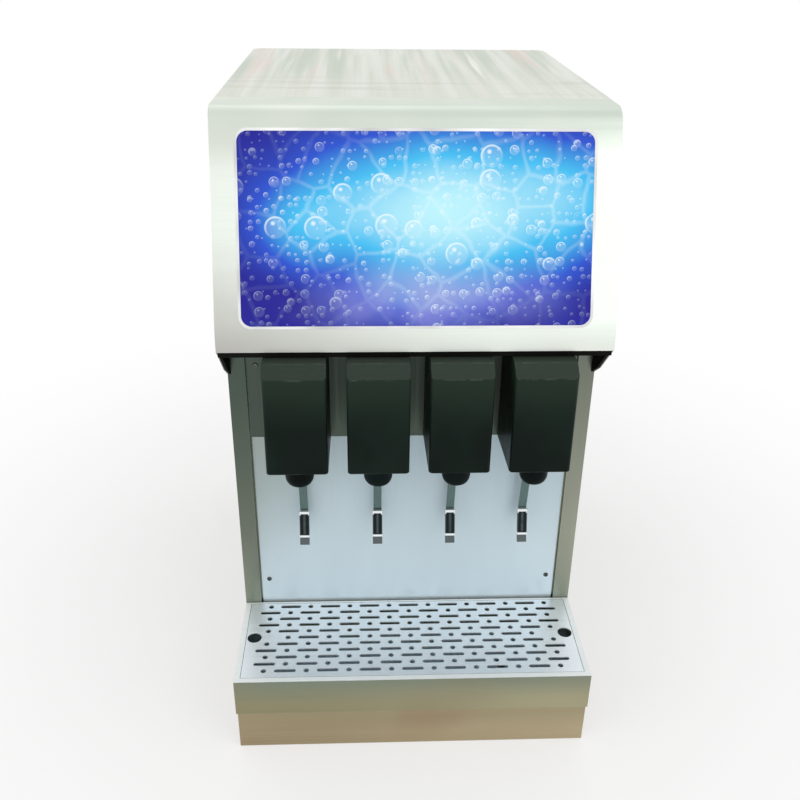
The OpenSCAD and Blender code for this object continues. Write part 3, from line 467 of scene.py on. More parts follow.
def streaked_lid(colour):
    """Lid sheet: brushed grain, with painted reflections: broad lengthwise streaks of pale grey, grey green
    and a rosy cast, strongest towards the back, and darker bands across the front.
    """
    material, tree, shader, place = new_material("lid_steel")
    grain = group_outputs(tree, brushed_grain, Place=place, Fine=ALONG_Y[0], Broad=(40, 1.4, 4))
    tint = noise(tree, vector_calc(tree, "MULTIPLY", place, (27, 1.2, 3)), 1.0, 3.0)
    back = fade(tree, axis(tree, place, 1), -0.06, 0.12, 0.3, 1.0)
    across = noise(tree, vector_calc(tree, "MULTIPLY", place, (3, 26, 3)), 1.0, 2.0)
    shade = mix(tree, grain["Streak"], scaled(colour, 0.95), scaled(colour, 1.05))
    # Painted reflections: grey green, rosy and pale streaks towards the back, darker bands across the
    # front.
    green = times(tree, grain["Band"], times(tree, back, 0.75))
    shade = mix(tree, green, shade, srgb(178, 190, 174))
    rose = times(tree, fade(tree, tint, 0.54, 0.66), times(tree, back, 0.7))
    shade = mix(tree, rose, shade, srgb(216, 198, 186))
    pale = times(tree, fade(tree, tint, 0.45, 0.32), times(tree, back, 0.8))
    shade = mix(tree, pale, shade, srgb(240, 242, 234))
    front = calc(tree, "SUBTRACT", 1.0, back)
    shade = mix(tree, times(tree, front, fade(tree, across, 0.5, 0.65)), shade, srgb(190, 188, 180))
    rough = fade(tree, grain["Band"], 0.0, 1.0, 0.24, 0.36)
    put_all(tree, shader, {"Base Color": shade, "Metallic": 1, "Roughness": rough})
    bump(tree, shader, grain["Streak"], 0.1, 0.04 * MM)
    return material


def moulded_plastic(name, colour, roughness=0.3, grain=0.1, dust=0.08, gloss=0.35, edge_glint=0.0, leans=()):
    """Moulded plastic: fine pebble, uneven gloss, colours painted by its leans, a little dust on top, and a
    painted highlight in patches on its rounded edges.
    """
    material, tree, shader, place = new_material(name)
    cloud = noise(tree, place, 11.0, 2.0)
    settled = group_outputs(tree, settled_dust, Place=place)["Dust"]
    glint_patches = group_outputs(tree, painted_edge_glint, Place=place)["Glint"]
    shade = mix(tree, fade(tree, cloud, 0.3, 0.7), scaled(colour, 0.65), scaled(colour, 1.4))
    shade = leaning(tree, place, shade, leans)
    shade = mix(tree, times(tree, settled, dust), shade, srgb(150, 150, 145))
    # Painted highlight: lighter patches on the rounded edges.
    shade = mix(tree, times(tree, glint_patches, edge_glint), shade, srgb(96, 104, 100))
    rough = fade(tree, cloud, 0.25, 0.75, roughness - 0.06, roughness + 0.1)
    put_all(tree, shader, {"Base Color": shade, "Roughness": rough, "Specular IOR Level": gloss})
    bump(tree, shader, noise(tree, place, 1500.0, 2.0), grain, 0.05 * MM)
    return material


def rubber(name, colour):
    """Matt rubber with a fine tooth."""
    material, tree, shader, place = new_material(name)
    tooth = noise(tree, place, 900.0, 3.0)
    shade = mix(tree, tooth, scaled(colour, 0.7), scaled(colour, 1.4))
    rough = fade(tree, tooth, 0.2, 0.8, 0.5, 0.75)
    put_all(tree, shader, {"Base Color": shade, "Roughness": rough, "Specular IOR Level": 0.15})
    bump(tree, shader, tooth, 0.25, 0.08 * MM)
    return material


def bare_metal(name, colour, roughness=0.25, tarnish=None):
    """Turned or drawn metal with a little tarnish."""
    material, tree, shader, place = new_material(name)
    cloud = noise(tree, place, 55.0, 4.0, 0.6)
    stain = tarnish or scaled(colour, 0.55)
    shade = mix(tree, fade(tree, cloud, 0.45, 0.75, 0.0, 0.7), colour, stain)
    rough = fade(tree, cloud, 0.3, 0.7, roughness - 0.06, roughness + 0.15)
    put_all(tree, shader, {"Base Color": shade, "Metallic": 1, "Roughness": rough})
    bump(tree, shader, noise(tree, place, 700.0, 2.0), 0.06, 0.05 * MM)
    return material


def lever_steel():
    """Bent lever strip: dull arm, with painted bands below its pin: painted highlights on the two bends, a
    dark painted reflection on the plate between them, and a darker painted reflection on the tip.
    """
    material, tree, shader, place = new_material("lever_steel")
    pin_z = JOINTS["lever_1_push"]["pos_m"][2]
    drop = calc(tree, "SUBTRACT", pin_z, axis(tree, place, 2))
    streaks = group_outputs(tree, brushed_grain, Place=place, Fine=ALONG_Z[0], Broad=ALONG_Z[1])
    arm, bright, plate_reflection, tip_reflection = srgb(98, 120, 118), srgb(238, 242, 243), srgb(52, 62, 64), srgb(90, 98, 100)
    shade = mix(tree, streaks["Streak"], scaled(arm, 0.85), scaled(arm, 1.15))
    blur = 0.3 * MM
    # Painted highlights on the two bends, painted reflection of the dark covers on the plate, and a darker
    # painted reflection on the tip.
    painted_bands = (
        (KNEE_DROP - 0.8 * MM, bright),
        (KNEE_DROP + LIP_HEIGHT, plate_reflection),
        (HEEL_DROP - LIP_HEIGHT, bright),
        (HEEL_DROP + 0.5 * MM, tip_reflection),
    )
    for at, colour in painted_bands:
        shade = mix(tree, fade(tree, drop, at - blur, at + blur), shade, colour)
    rough = fade(tree, streaks["Band"], 0.0, 1.0, 0.26, 0.36)
    put_all(tree, shader, {"Base Color": shade, "Metallic": 0.7, "Roughness": rough})
    bump(tree, shader, streaks["Streak"], 0.1, 0.04 * MM)
    return material


def pad_painted_reflection(colour):
    """Push pad: dark rubber with a paler streak along its middle, a painted reflection."""
    material, tree, shader, place = new_material("pad_rubber")
    across = axis(tree, place, 0)
    away = 1.0
    for k in VALVES:
        from_pad = calc(tree, "SUBTRACT", across, JOINTS[f"lever_{k}_push"]["pos_m"][0])
        away = calc(tree, "MINIMUM", away, calc(tree, "ABSOLUTE", from_pad))
    tooth = noise(tree, place, 900.0, 3.0)
    patches = fade(tree, noise(tree, place, 160.0), 0.3, 0.6, 0.5, 1.0)
    # Painted reflection: a paler streak along each pad's middle, broken up in patches.
    painted_streak = times(tree, fade(tree, away, PAD_STREAK, 0.0), patches)
    shade = mix(tree, tooth, scaled(colour, 0.75), scaled(colour, 1.3))
    shade = mix(tree, painted_streak, shade, srgb(72, 86, 88))
    rough = fade(tree, tooth, 0.2, 0.8, 0.4, 0.6)
    put_all(tree, shader, {"Base Color": shade, "Roughness": rough, "Specular IOR Level": 0.2})
    bump(tree, shader, tooth, 0.2, 0.08 * MM)
    return material


def painted_metal(name, colour, roughness=0.4):
    """Sprayed paint with a slight orange peel."""
    material, tree, shader, place = new_material(name)
    cloud = noise(tree, place, 18.0, 3.0)
    settled = group_outputs(tree, settled_dust, Place=place)["Dust"]
    shade = mix(tree, fade(tree, cloud, 0.3, 0.7), scaled(colour, 0.85), scaled(colour, 1.15))
    shade = mix(tree, times(tree, settled, 0.25), shade, srgb(160, 158, 150))
    rough = fade(tree, cloud, 0.25, 0.75, roughness - 0.05, roughness + 0.1)
    put_all(tree, shader, {"Base Color": shade, "Roughness": rough})
    bump(tree, shader, noise(tree, place, 420.0, 2.0), 0.15, 0.1 * MM)
    return material


def bubbles(tree, flat, scale, keep, seed):
    """Mask of round bubbles: a bright rim towards the light, a faint body and a highlight."""
    place = vector_calc(tree, "ADD", flat, (seed, seed * 0.7, 0))
    inputs = {"Vector": place, "Scale": scale, "Randomness": 0.8}
    cells = add(tree, "ShaderNodeTexVoronoi", inputs, voronoi_dimensions="2D").outputs
    chance = add(tree, "ShaderNodeSeparateColor", {0: cells["Color"]}).outputs
    radius = fade(tree, chance[0], 0.0, 1.0, 0.08, 0.3)
    offset = vector_calc(tree, "SUBTRACT", place, cells["Position"])
    offset = vector_calc(tree, "MULTIPLY", offset, (scale, scale, 0))
    away = vector_value(tree, "LENGTH", offset)
    beyond = calc(tree, "SUBTRACT", away, radius)
    rim = fade(tree, calc(tree, "ABSOLUTE", beyond), 0.0, 0.045, 1.0, 0.0)
    lit = vector_value(tree, "DOT_PRODUCT", vector_calc(tree, "NORMALIZE", offset), (-0.5, 0.86, 0))
    rim = times(tree, rim, fade(tree, lit, -0.8, 1.0, 0.15, 1.0))
    body = fade(tree, beyond, -0.05, 0.0, 0.16, 0.0)
    inputs = {0: (-0.24, 0.41, 0), 3: radius}
    spot_at = add(tree, "ShaderNodeVectorMath", inputs, operation="SCALE").outputs[0]
    spot = calc(tree, "DIVIDE", vector_value(tree, "DISTANCE", offset, spot_at), radius)
    spot = fade(tree, spot, 0.1, 0.3, 0.8, 0.0)
    whole = calc(tree, "ADD", calc(tree, "ADD", rim, body), spot, clamp=True)
    return times(tree, whole, fade(tree, chance[1], keep, keep + 0.02))


def light_net(tree, flat, scale, warp):
    """Mask of the bright net that sunlit ripples throw: thin lines between uneven cells."""
    drift = vector_calc(tree, "MULTIPLY", warp, (0.05, 0.05, 0))
    place = vector_calc(tree, "ADD", flat, drift)
    inputs = {"Vector": place, "Scale": scale, "Randomness": 1.0}
    settings = {"voronoi_dimensions": "2D", "feature": "DISTANCE_TO_EDGE"}
    edge = add(tree, "ShaderNodeTexVoronoi", inputs, **settings).outputs[0]
    return fade(tree, edge, 0.0, 0.09, 1.0, 0.0)


def lit_print(colours):
    """Printed acrylic, lit from behind: a blue field with a bright glow, a light net and rising bubbles."""
    material, tree, shader, place = new_material("lit_print")
    heights = [vertex.co.dot(UP_SLOPE) for vertex in frame["nodes"]["light_panel"].data.vertices]
    middle = (min(heights) + max(heights)) / 2
    half_h = (max(heights) - min(heights)) / 2
    half_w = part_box("light_panel")[1].x
    across = axis(tree, place, 0)
    up = calc(tree, "SUBTRACT", vector_value(tree, "DOT_PRODUCT", place, UP_SLOPE), middle)
    flat = add(tree, "ShaderNodeCombineXYZ", {0: across, 1: up}).outputs[0]
    warp = add(tree, "ShaderNodeTexNoise", {"Vector": flat, "Scale": 9.0, "Detail": 3.0})

    def glow(x, y, width, height, strength):
        """Soft oval of light, placed and sized in shares of the panel."""
        moved = vector_calc(tree, "SUBTRACT", flat, (x * half_w, y * half_h, 0))
        shaped = vector_calc(tree, "MULTIPLY", moved, (1 / (width * half_w), 1 / (height * half_h), 0))
        return fade(tree, vector_value(tree, "LENGTH", shaped), 0.0, 1.0, strength, 0.0)

    glows = (
        (0.18, 0.2, 1.4, 1.3, 1.0),
        (1.0, 0.5, 0.6, 0.9, 0.26),
        (0.0, -0.75, 0.8, 0.5, 0.22),
        (-0.7, 0, 0.5, 0.8, 0.28),
    )
    bright = 0.0
    for oval in glows:
        bright = calc(tree, "ADD", bright, glow(*oval))
    uneven = times(tree, calc(tree, "SUBTRACT", warp.outputs[0], 0.5), 0.3)
    bright = calc(tree, "ADD", bright, uneven, clamp=True)
    ramp = add(tree, "ShaderNodeValToRGB", {0: bright})
    stops = (
        (0.0, colours.panel_deep),
        (0.28, colours.panel_blue),
        (0.62, colours.panel_cyan),
        (1.0, colours.panel_pale),
    )
    elements = ramp.color_ramp.elements
    while len(elements) < len(stops):
        elements.new(0.5)
    for element, (at, colour) in zip(elements, stops):
        element.position = at
        element.color = (*colour, 1)
    mist = times(tree, glow(0.05, -0.7, 1.0, 0.55, 0.75), fade(tree, warp.outputs[0], 0.3, 0.65))
    art = mix(tree, mist, ramp.outputs[0], srgb(168, 166, 222))
    net = light_net(tree, flat, 24.0, warp.outputs[1])
    net = times(tree, net, fade(tree, bright, 0.1, 0.9, 0.03, 0.3))
    art = mix(tree, net, art, (0.72, 0.93, 1.0))
    for scale, keep, seed in ((26, 0.45, 3.1), (58, 0.5, 7.7), (120, 0.55, 1.9)):
        shown = bubbles(tree, flat, scale, keep, seed)
        share = times(tree, shown, fade(tree, bright, 0.0, 0.5, 0.3, 0.8))
        art = mix(tree, share, art, (0.86, 0.97, 1.0))
    shade = mix(tree, 0.55, art, (0, 0, 0))
    rough = fade(tree, noise(tree, place, 30.0), 0.3, 0.7, 0.08, 0.16)
    put_all(tree, shader, {"Base Color": shade, "Roughness": rough, "Specular IOR Level": 0.12})
    put_all(tree, shader, {"Emission Color": art, "Emission Strength": 0.58})
    return material


FINISHES = {}


def finish_of(slot, colours):
    """Material of a record slot or of a zone, made when it is first needed."""
    makers = {
        "base_steel": lambda: sheet_steel(
            slot, colours.base, ALONG_X, 0.36, 0.11, warm=srgb(164, 140, 112),
            # Painted light: lighter towards the right. Painted shade: darker towards the top, under the
            # tray.
            leans=[
                ((1, 0, 0), -0.2, 0.2, srgb(186, 171, 140)),
                (UP, 0.02, 0.075, srgb(164, 154, 125)),
            ],
        ),
        "cabinet_steel": lambda: sheet_steel(
            slot, colours.cabinet, ALONG_Z, 0.32, 0.04,
            # Painted light: lighter towards the bottom.
            leans=[(UP, 0.4, 0.05, srgb(138, 144, 133))],
        ),
        "post_steel": lambda: sheet_steel(
            slot, colours.post, ALONG_Z, 0.32, 0.06,
            # Painted reflection of the floor and tray: lighter towards the lower right and towards the
            # bottom.
            leans=[
                ((0.6, 0, -1), -0.6, 0.1, srgb(174, 176, 160)),
                (UP, 0.24, 0.06, srgb(150, 158, 143)),
            ],
        ),
        "fascia_steel": lambda: sheet_steel(
            slot, colours.fascia, ALONG_X, 0.42, 0.03, warm=srgb(236, 234, 226),
            # Painted reflection: darker towards the lower left. Painted shade: darker grey green towards
            # the top bend.
            leans=[
                ((-0.4, 0, -1), -0.57, -0.4, srgb(188, 186, 181)),
                ((-0.03, 0, 1), 0.7, 0.737, srgb(208, 217, 206)),
            ],
        ),
        "lid_steel": lambda: streaked_lid(colours.lid),
        "tray_steel": lambda: sheet_steel(
            slot, colours.tray, ALONG_X, 0.34, 0.1, warm=srgb(150, 141, 114),
            # Painted light: lighter towards the right. Painted shade: darker grey green at the top of the
            # skirt, below the lip.
            leans=[
                ((1, 0, 0), -0.2, 0.2, srgb(174, 168, 138)),
                (UP, 0.062, 0.125, srgb(128, 142, 129)),
            ],
        ),
        # Painted light: near white upper faces of the rim, and the well painted lighter against the shade
        # in its recess.
        "tray_rim": lambda: sheet_steel(slot, colours.rim, ALONG_X, 0.4, 0.03, 0.15),
        "tray_well": lambda: sheet_steel(slot, srgb(174, 196, 208), ALONG_X, 0.45, 0.08, 0.4),
        "grille_steel": lambda: sheet_steel(slot, colours.grille, ALONG_X, 0.36, 0.03, 0.6),
        "splash_steel": lambda: sheet_steel(
            slot, colours.splash, ALONG_Z, 0.4, 0.035, 0.55,
            # Painted light: lighter towards the bottom. Painted shade: darker towards the upper left, under
            # the head.
            leans=[
                (UP, 0.36, 0.1, srgb(228, 243, 250)),
                ((-1, 0, 0.6), 0.25, 0.42, srgb(164, 176, 172)),
            ],
        ),
        # Painted shade: dark grey for the shade under the head.
        "valve_plate_steel": lambda: sheet_steel(slot, colours.valve_plate, ALONG_Z, 0.34, 0.05),
        "polished_steel": lever_steel,
        "screw_steel": lambda: bare_metal(slot, srgb(104, 106, 104), 0.3),
        # Painted light: lighter green towards the top where the covers face up, and a painted highlight on
        # the rounded edges.
        "cover_plastic": lambda: moulded_plastic(
            slot, colours.cover, 0.38, dust=0.1, gloss=0.08, edge_glint=0.25,
            leans=[(UP, 0.42, 0.51, srgb(36, 51, 40))],
        ),
        "nozzle_plastic": lambda: moulded_plastic(slot, colours.nozzle, 0.36, 0.05, gloss=0.05),
        "chin_plastic": lambda: moulded_plastic(slot, srgb(17, 17, 14), 0.55, 0.18, 0.03, 0.05),
        "pad_rubber": lambda: pad_painted_reflection(srgb(14, 25, 28)),
        "foot_rubber": lambda: rubber(slot, srgb(30, 30, 30)),
        "lit_acrylic": lambda: lit_print(colours),
        "trim_plastic": lambda: moulded_plastic(slot, srgb(240, 242, 244), 0.2, 0.03, 0.0),
        "white_plastic": lambda: moulded_plastic(slot, srgb(226, 226, 220), 0.4),
        "dark_plastic": lambda: moulded_plastic(slot, srgb(34, 36, 38), 0.38, 0.2, gloss=0.2),
        "switch_plastic": lambda: moulded_plastic(slot, srgb(150, 26, 24), 0.24, 0.05),
        "grey_metal": lambda: painted_metal(slot, srgb(92, 96, 98)),
        "black_metal": lambda: painted_metal(slot, srgb(30, 31, 32), 0.32),
        "copper_tube": lambda: bare_metal(slot, srgb(198, 128, 86), 0.25, srgb(120, 74, 52)),
        "brass_fitting": lambda: bare_metal(slot, srgb(205, 172, 98), 0.2, srgb(140, 108, 58)),
        "stainless_tube": lambda: bare_metal(slot, srgb(196, 200, 202), 0.2),
        "fin_metal": lambda: bare_metal(slot, srgb(168, 172, 174), 0.35),
    }
    if slot not in FINISHES:
        FINISHES[slot] = makers[slot]()
    return FINISHES[slot]


# Pieces


def mesh_of(name, shape):
    """Mesh from a bmesh, which is freed."""
    mesh = bpy.data.meshes.new(name)
    shape.to_mesh(mesh)
    shape.free()
    return mesh


def new_object(name, data):
    """An object in the scene."""
    made = bpy.data.objects.new(name, data)
    bpy.context.scene.collection.objects.link(made)
    return made


def finish_piece(name, shape, body, materials, nodes=()):
    """A piece from a bmesh: shaded, riding on its body and the nodes that it stands for."""
    mesh = mesh_of(name, shape)
    for material in materials:
        mesh.materials.append(material)
    mesh.shade_smooth()
    mesh.set_sharp_from_angle(angle=SHARP)
    piece = new_object(name, mesh)
    piece.modifiers.new("facing", "WEIGHTED_NORMAL").keep_sharp = True
    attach(piece, body)
    if nodes:
        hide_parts(*nodes)


def fitting(name, shape, body, slot, colours, nodes=()):
    """A piece of one finish."""
    finish_piece(name, shape, body, [finish_of(slot, colours)], nodes)


def merged_copy(node):
    """A bmesh copy of a frame node with its triangles welded and its flat faces whole."""
    shape = bmesh.new()
    shape.from_mesh(frame["nodes"][node].data)
    bmesh.ops.remove_doubles(shape, verts=shape.verts, dist=WELD)
    bmesh.ops.dissolve_limit(shape, angle_limit=FLAT, verts=shape.verts, edges=shape.edges)
    return shape


def round_off(shape, edges, width, segments=2):
    """Rounds edges of a shape; returns the new faces."""
    return bmesh.ops.bevel(
        shape, geom=edges, offset=width, offset_type="OFFSET", segments=segments, profile=0.5,
        affect="EDGES", clamp_overlap=True, material=-1,
    )["faces"]


def ease_edges(shape, width, segments=2):
    """Rounds the sharp edges of a shape and marks the new faces."""
    mark = shape.faces.layers.float.new(EDGE_MARK)
    edges = [edge for edge in shape.edges if edge.is_manifold and edge.calc_face_angle() > SHARP]
    for face in round_off(shape, edges, width, segments):
        face[mark] = 1
    bmesh.ops.remove_doubles(shape, verts=shape.verts, dist=SLIVER)
    bmesh.ops.dissolve_degenerate(shape, dist=SLIVER, edges=shape.edges)


def eased_node(node, width, colours, segments=2, zones=()):
    """A piece with a node's shape and rounded edges; a zone is a finish and a test of its faces."""
    shape = merged_copy(node)
    ease_edges(shape, width, segments)
    for index, (_, belongs) in enumerate(zones, 1):
        for face in filter(belongs, shape.faces):
            face.material_index = index
    slot = SLOTS[node]
    materials = [finish_of(finish, colours) for finish in (slot, *(finish for finish, _ in zones))]
    body = frame["nodes"][node]["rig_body"]
    finish_piece(f"{node}_finish", shape, body, materials, [node])


def finished_node(node, colours):
    """A frame node that keeps its shape and gets its finish."""
    mesh = frame["nodes"][node].data
    mesh.materials.clear()
    mesh.materials.append(finish_of(SLOTS[node], colours))


def facing(place, towards):
    """Matrix that puts a shape at a place with its Z along a direction."""
    return Matrix.Translation(place) @ Vector(towards).to_track_quat("Z", "Y").to_matrix().to_4x4()


def turned_disc(shape, place, towards, radii, height, segments=24):
    """Adds a disc or cone that rises from a place; returns its outer cap."""
    towards = Vector(towards)
    made = bmesh.ops.create_cone(
        shape, cap_ends=True, segments=segments, radius1=radii[0], radius2=radii[1], depth=height,
        matrix=facing(Vector(place) + towards * height / 2, towards),
    )
    faces = {face for vert in made["verts"] for face in vert.link_faces}
    return max(faces, key=lambda face: face.calc_center_median().dot(towards))


def sunk(shape, face, thickness, depth):
    """Insets a face and moves its middle along its normal."""
    bmesh.ops.inset_individual(shape, faces=[face], thickness=thickness, depth=depth)


def screw_head(shape, place, towards, sizes):
    """Adds a pan head with a socket."""
    radius, height = sizes.screw_radius, sizes.screw_height
    cap = turned_disc(shape, place, towards, (radius, HEAD_TAPER * radius), height)
    sunk(shape, cap, SOCKET_RIM * radius, 0)
    sunk(shape, cap, SOCKET_WALL * radius, -SOCKET_DEPTH * height)


def rounded_bar(shape, low, high, edge):
    """Adds a bar between two corners with rounded edges."""
    low, high = Vector(low), Vector(high)
    matrix = Matrix.Translation((low + high) / 2) @ Matrix.Diagonal((*(high - low), 1))
    made = bmesh.ops.create_cube(shape, size=1, matrix=matrix)
    edges = {joined for vert in made["verts"] for joined in vert.link_edges}
    round_off(shape, list(edges), edge)


def louvre_blades(sizes):
    """Curved blades that rise inwards from the sills of the back panel's slots."""
    panel = merged_copy("back_panel")
    inner_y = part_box("back_panel")[0].y
    blades = bmesh.new()
    for face in panel.faces:
        ends = [vert.co.x for vert in face.verts]
        if face.normal.z < SILL_UP or not SLOT_WIDTHS[0] < max(ends) - min(ends) < SLOT_WIDTHS[1]:
            continue
        sill = face.calc_center_median().z
        start = [blades.verts.new((x, inner_y, sill)) for x in (min(ends), max(ends))]
        line = blades.edges.new(start)
        bmesh.ops.spin(
            blades, geom=[*start, line], cent=(0, inner_y, sill + sizes.blade_rise), axis=(1, 0, 0),
            angle=-BLADE_TURN, steps=BLADE_STEPS,
        )
    panel.free()
    bmesh.ops.recalc_face_normals(blades, faces=blades.faces)
    bmesh.ops.solidify(blades, geom=blades.faces, thickness=sizes.blade_wall)
    return blades


class FountainOperator(bpy.types.Operator):
    """Shared parts of the operators that dress the fountain."""

    bl_options = {"REGISTER", "UNDO"}

    def looks(self, context):
        """The user's colours and sizes."""
        return context.scene.fountain_colours, context.scene.fountain_sizes


class FOUNTAIN_OT_cabinet(FountainOperator):
    """Dresses the base, sides, back, lid and feet, with the back's louvres and screws."""

    bl_idname = "fountain.cabinet"
    bl_label = "Cabinet"

    def execute(self, context):
        colours, sizes = self.looks(context)
        for node in ("base_pan", "back_panel", "connection_plate", "top_lid"):
            eased_node(node, sizes.sheet_edge, colours)
        head_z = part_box("front_fascia")[0].z
        # The posts' front faces get a copy of the cabinet sheet with painted shade and painted reflection.
        posts = [(
            "post_steel",
            lambda face: face.normal.y < FACES_FRONT and face.calc_center_median().z < head_z,
        )]
        for node in ("left_side_panel", "right_side_panel"):
            eased_node(node, sizes.sheet_edge, colours, zones=posts)
        eased_node("rubber_feet", sizes.small_edge, colours)
        fitting("louvre_blades", louvre_blades(sizes), "cabinet", "cabinet_steel", colours)
        low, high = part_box("back_panel")
        screws = bmesh.new()
        for x in (low.x + BACK_SCREW_INSET, high.x - BACK_SCREW_INSET):
            for share in BACK_SCREW_SHARES:
                place = (x, high.y, low.z + share * (high.z - low.z))
                screw_head(screws, place, TO_BACK, sizes)
        fitting("back_screws", screws, "cabinet", "screw_steel", colours)
        return {"FINISHED"}


class FOUNTAIN_OT_head(FountainOperator):
    """Dresses the fascia, its lit panel and the moulding under it."""

    bl_idname = "fountain.head"
    bl_label = "Head"

    def execute(self, context):
        colours, sizes = self.looks(context)
        eased_node("front_fascia", sizes.sheet_edge, colours)
        eased_node("panel_trim", sizes.small_edge, colours)
        eased_node("light_panel", sizes.small_edge, colours)
        eased_node("chin_valance", sizes.sheet_edge, colours)
        for node in ("light_box", "led_strips"):
            finished_node(node, colours)
        return {"FINISHED"}


class FOUNTAIN_OT_splash(FountainOperator):
    """Dresses the splash panel, the valve plate and their screws."""

    bl_idname = "fountain.splash"
    bl_label = "Splash"

    def execute(self, context):
        colours, sizes = self.looks(context)
        eased_node("splash_panel", sizes.small_edge, colours)
        eased_node("valve_plate", sizes.small_edge, colours)
        low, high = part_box("panel_screws")
        front_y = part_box("splash_panel")[0].y
        screws = bmesh.new()
        for x in (low.x + sizes.screw_radius, high.x - sizes.screw_radius):
            for z in (low.z + sizes.screw_radius, high.z - sizes.screw_radius):
                screw_head(screws, (x, front_y, z), TO_FRONT, sizes)
        fitting("splash_screws", screws, "cabinet", "screw_steel", colours, ["panel_screws"])
        return {"FINISHED"}


class FOUNTAIN_OT_drip_tray(FountainOperator):
    """Dresses the drip tray and its grille."""

    bl_idname = "fountain.drip_tray"
    bl_label = "Drip tray"

    def execute(self, context):
        colours, sizes = self.looks(context)
        rim_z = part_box("drip_tray")[1].z - RIM_BAND
        # Upper faces of the tray get copies of its sheet with painted light: the rim near white, the well
        # lighter.
        zones = [
            ("tray_rim", lambda face: face.normal.z > FACES_UP and face.calc_center_median().z > rim_z),
            ("tray_well", lambda face: face.normal.z > FACES_UP and face.calc_center_median().z < rim_z),
        ]
        eased_node("drip_tray", sizes.sheet_edge, colours, zones=zones)
        eased_node("drip_grille", sizes.hole_edge, colours)
        return {"FINISHED"}


class FOUNTAIN_OT_valves(FountainOperator):
    """Dresses the valve covers and nozzles, and what is behind the covers."""

    bl_idname = "fountain.valves"
    bl_label = "Valves"

    def execute(self, context):
        colours, sizes = self.looks(context)
        for k in VALVES:
            eased_node(f"valve_cover_{k}", sizes.moulding_edge, colours, 3)
            eased_node(f"nozzle_{k}", sizes.small_edge, colours)
            finished_node(f"valve_body_{k}", colours)
        for node in ("lever_pins", "lever_springs", "valve_solenoids", "microswitches", "flow_adjusters"):
            finished_node(node, colours)
        return {"FINISHED"}


class FOUNTAIN_OT_levers(FountainOperator):
    """Dresses the levers, with a dull arm, painted highlights on the lips, painted reflections on the plate
    and tip, and their raised pads.
    """

    bl_idname = "fountain.levers"
    bl_label = "Levers"

    def execute(self, context):
        colours, sizes = self.looks(context)
        for k in VALVES:
            eased_node(f"lever_{k}", sizes.small_edge, colours)
            pad = merged_copy(f"lever_pad_{k}")
            front = min(pad.faces, key=lambda face: face.normal.y)
            sunk(pad, front, PAD_MARGIN, 0)
            sunk(pad, front, PAD_STEP, sizes.pad_rib)
            ease_edges(pad, PAD_EDGE)
            fitting(f"push_pad_{k}", pad, f"lever_{k}", "pad_rubber", colours, [f"lever_pad_{k}"])
        return {"FINISHED"}


class FOUNTAIN_OT_cooling(FountainOperator):
    """Dresses the machinery inside the cabinet."""

    bl_idname = "fountain.cooling"
    bl_label = "Cooling"

    def execute(self, context):
        colours, _ = self.looks(context)
        for node in (
            "water_bath", "evaporator_coil", "product_coil", "carbonator", "agitator_motor",
            "agitator_impeller", "refrigeration_deck", "compressor", "condenser", "fan_motor", "fan_blade",
            "pump_motor",
        ):
            finished_node(node, colours)
        return {"FINISHED"}


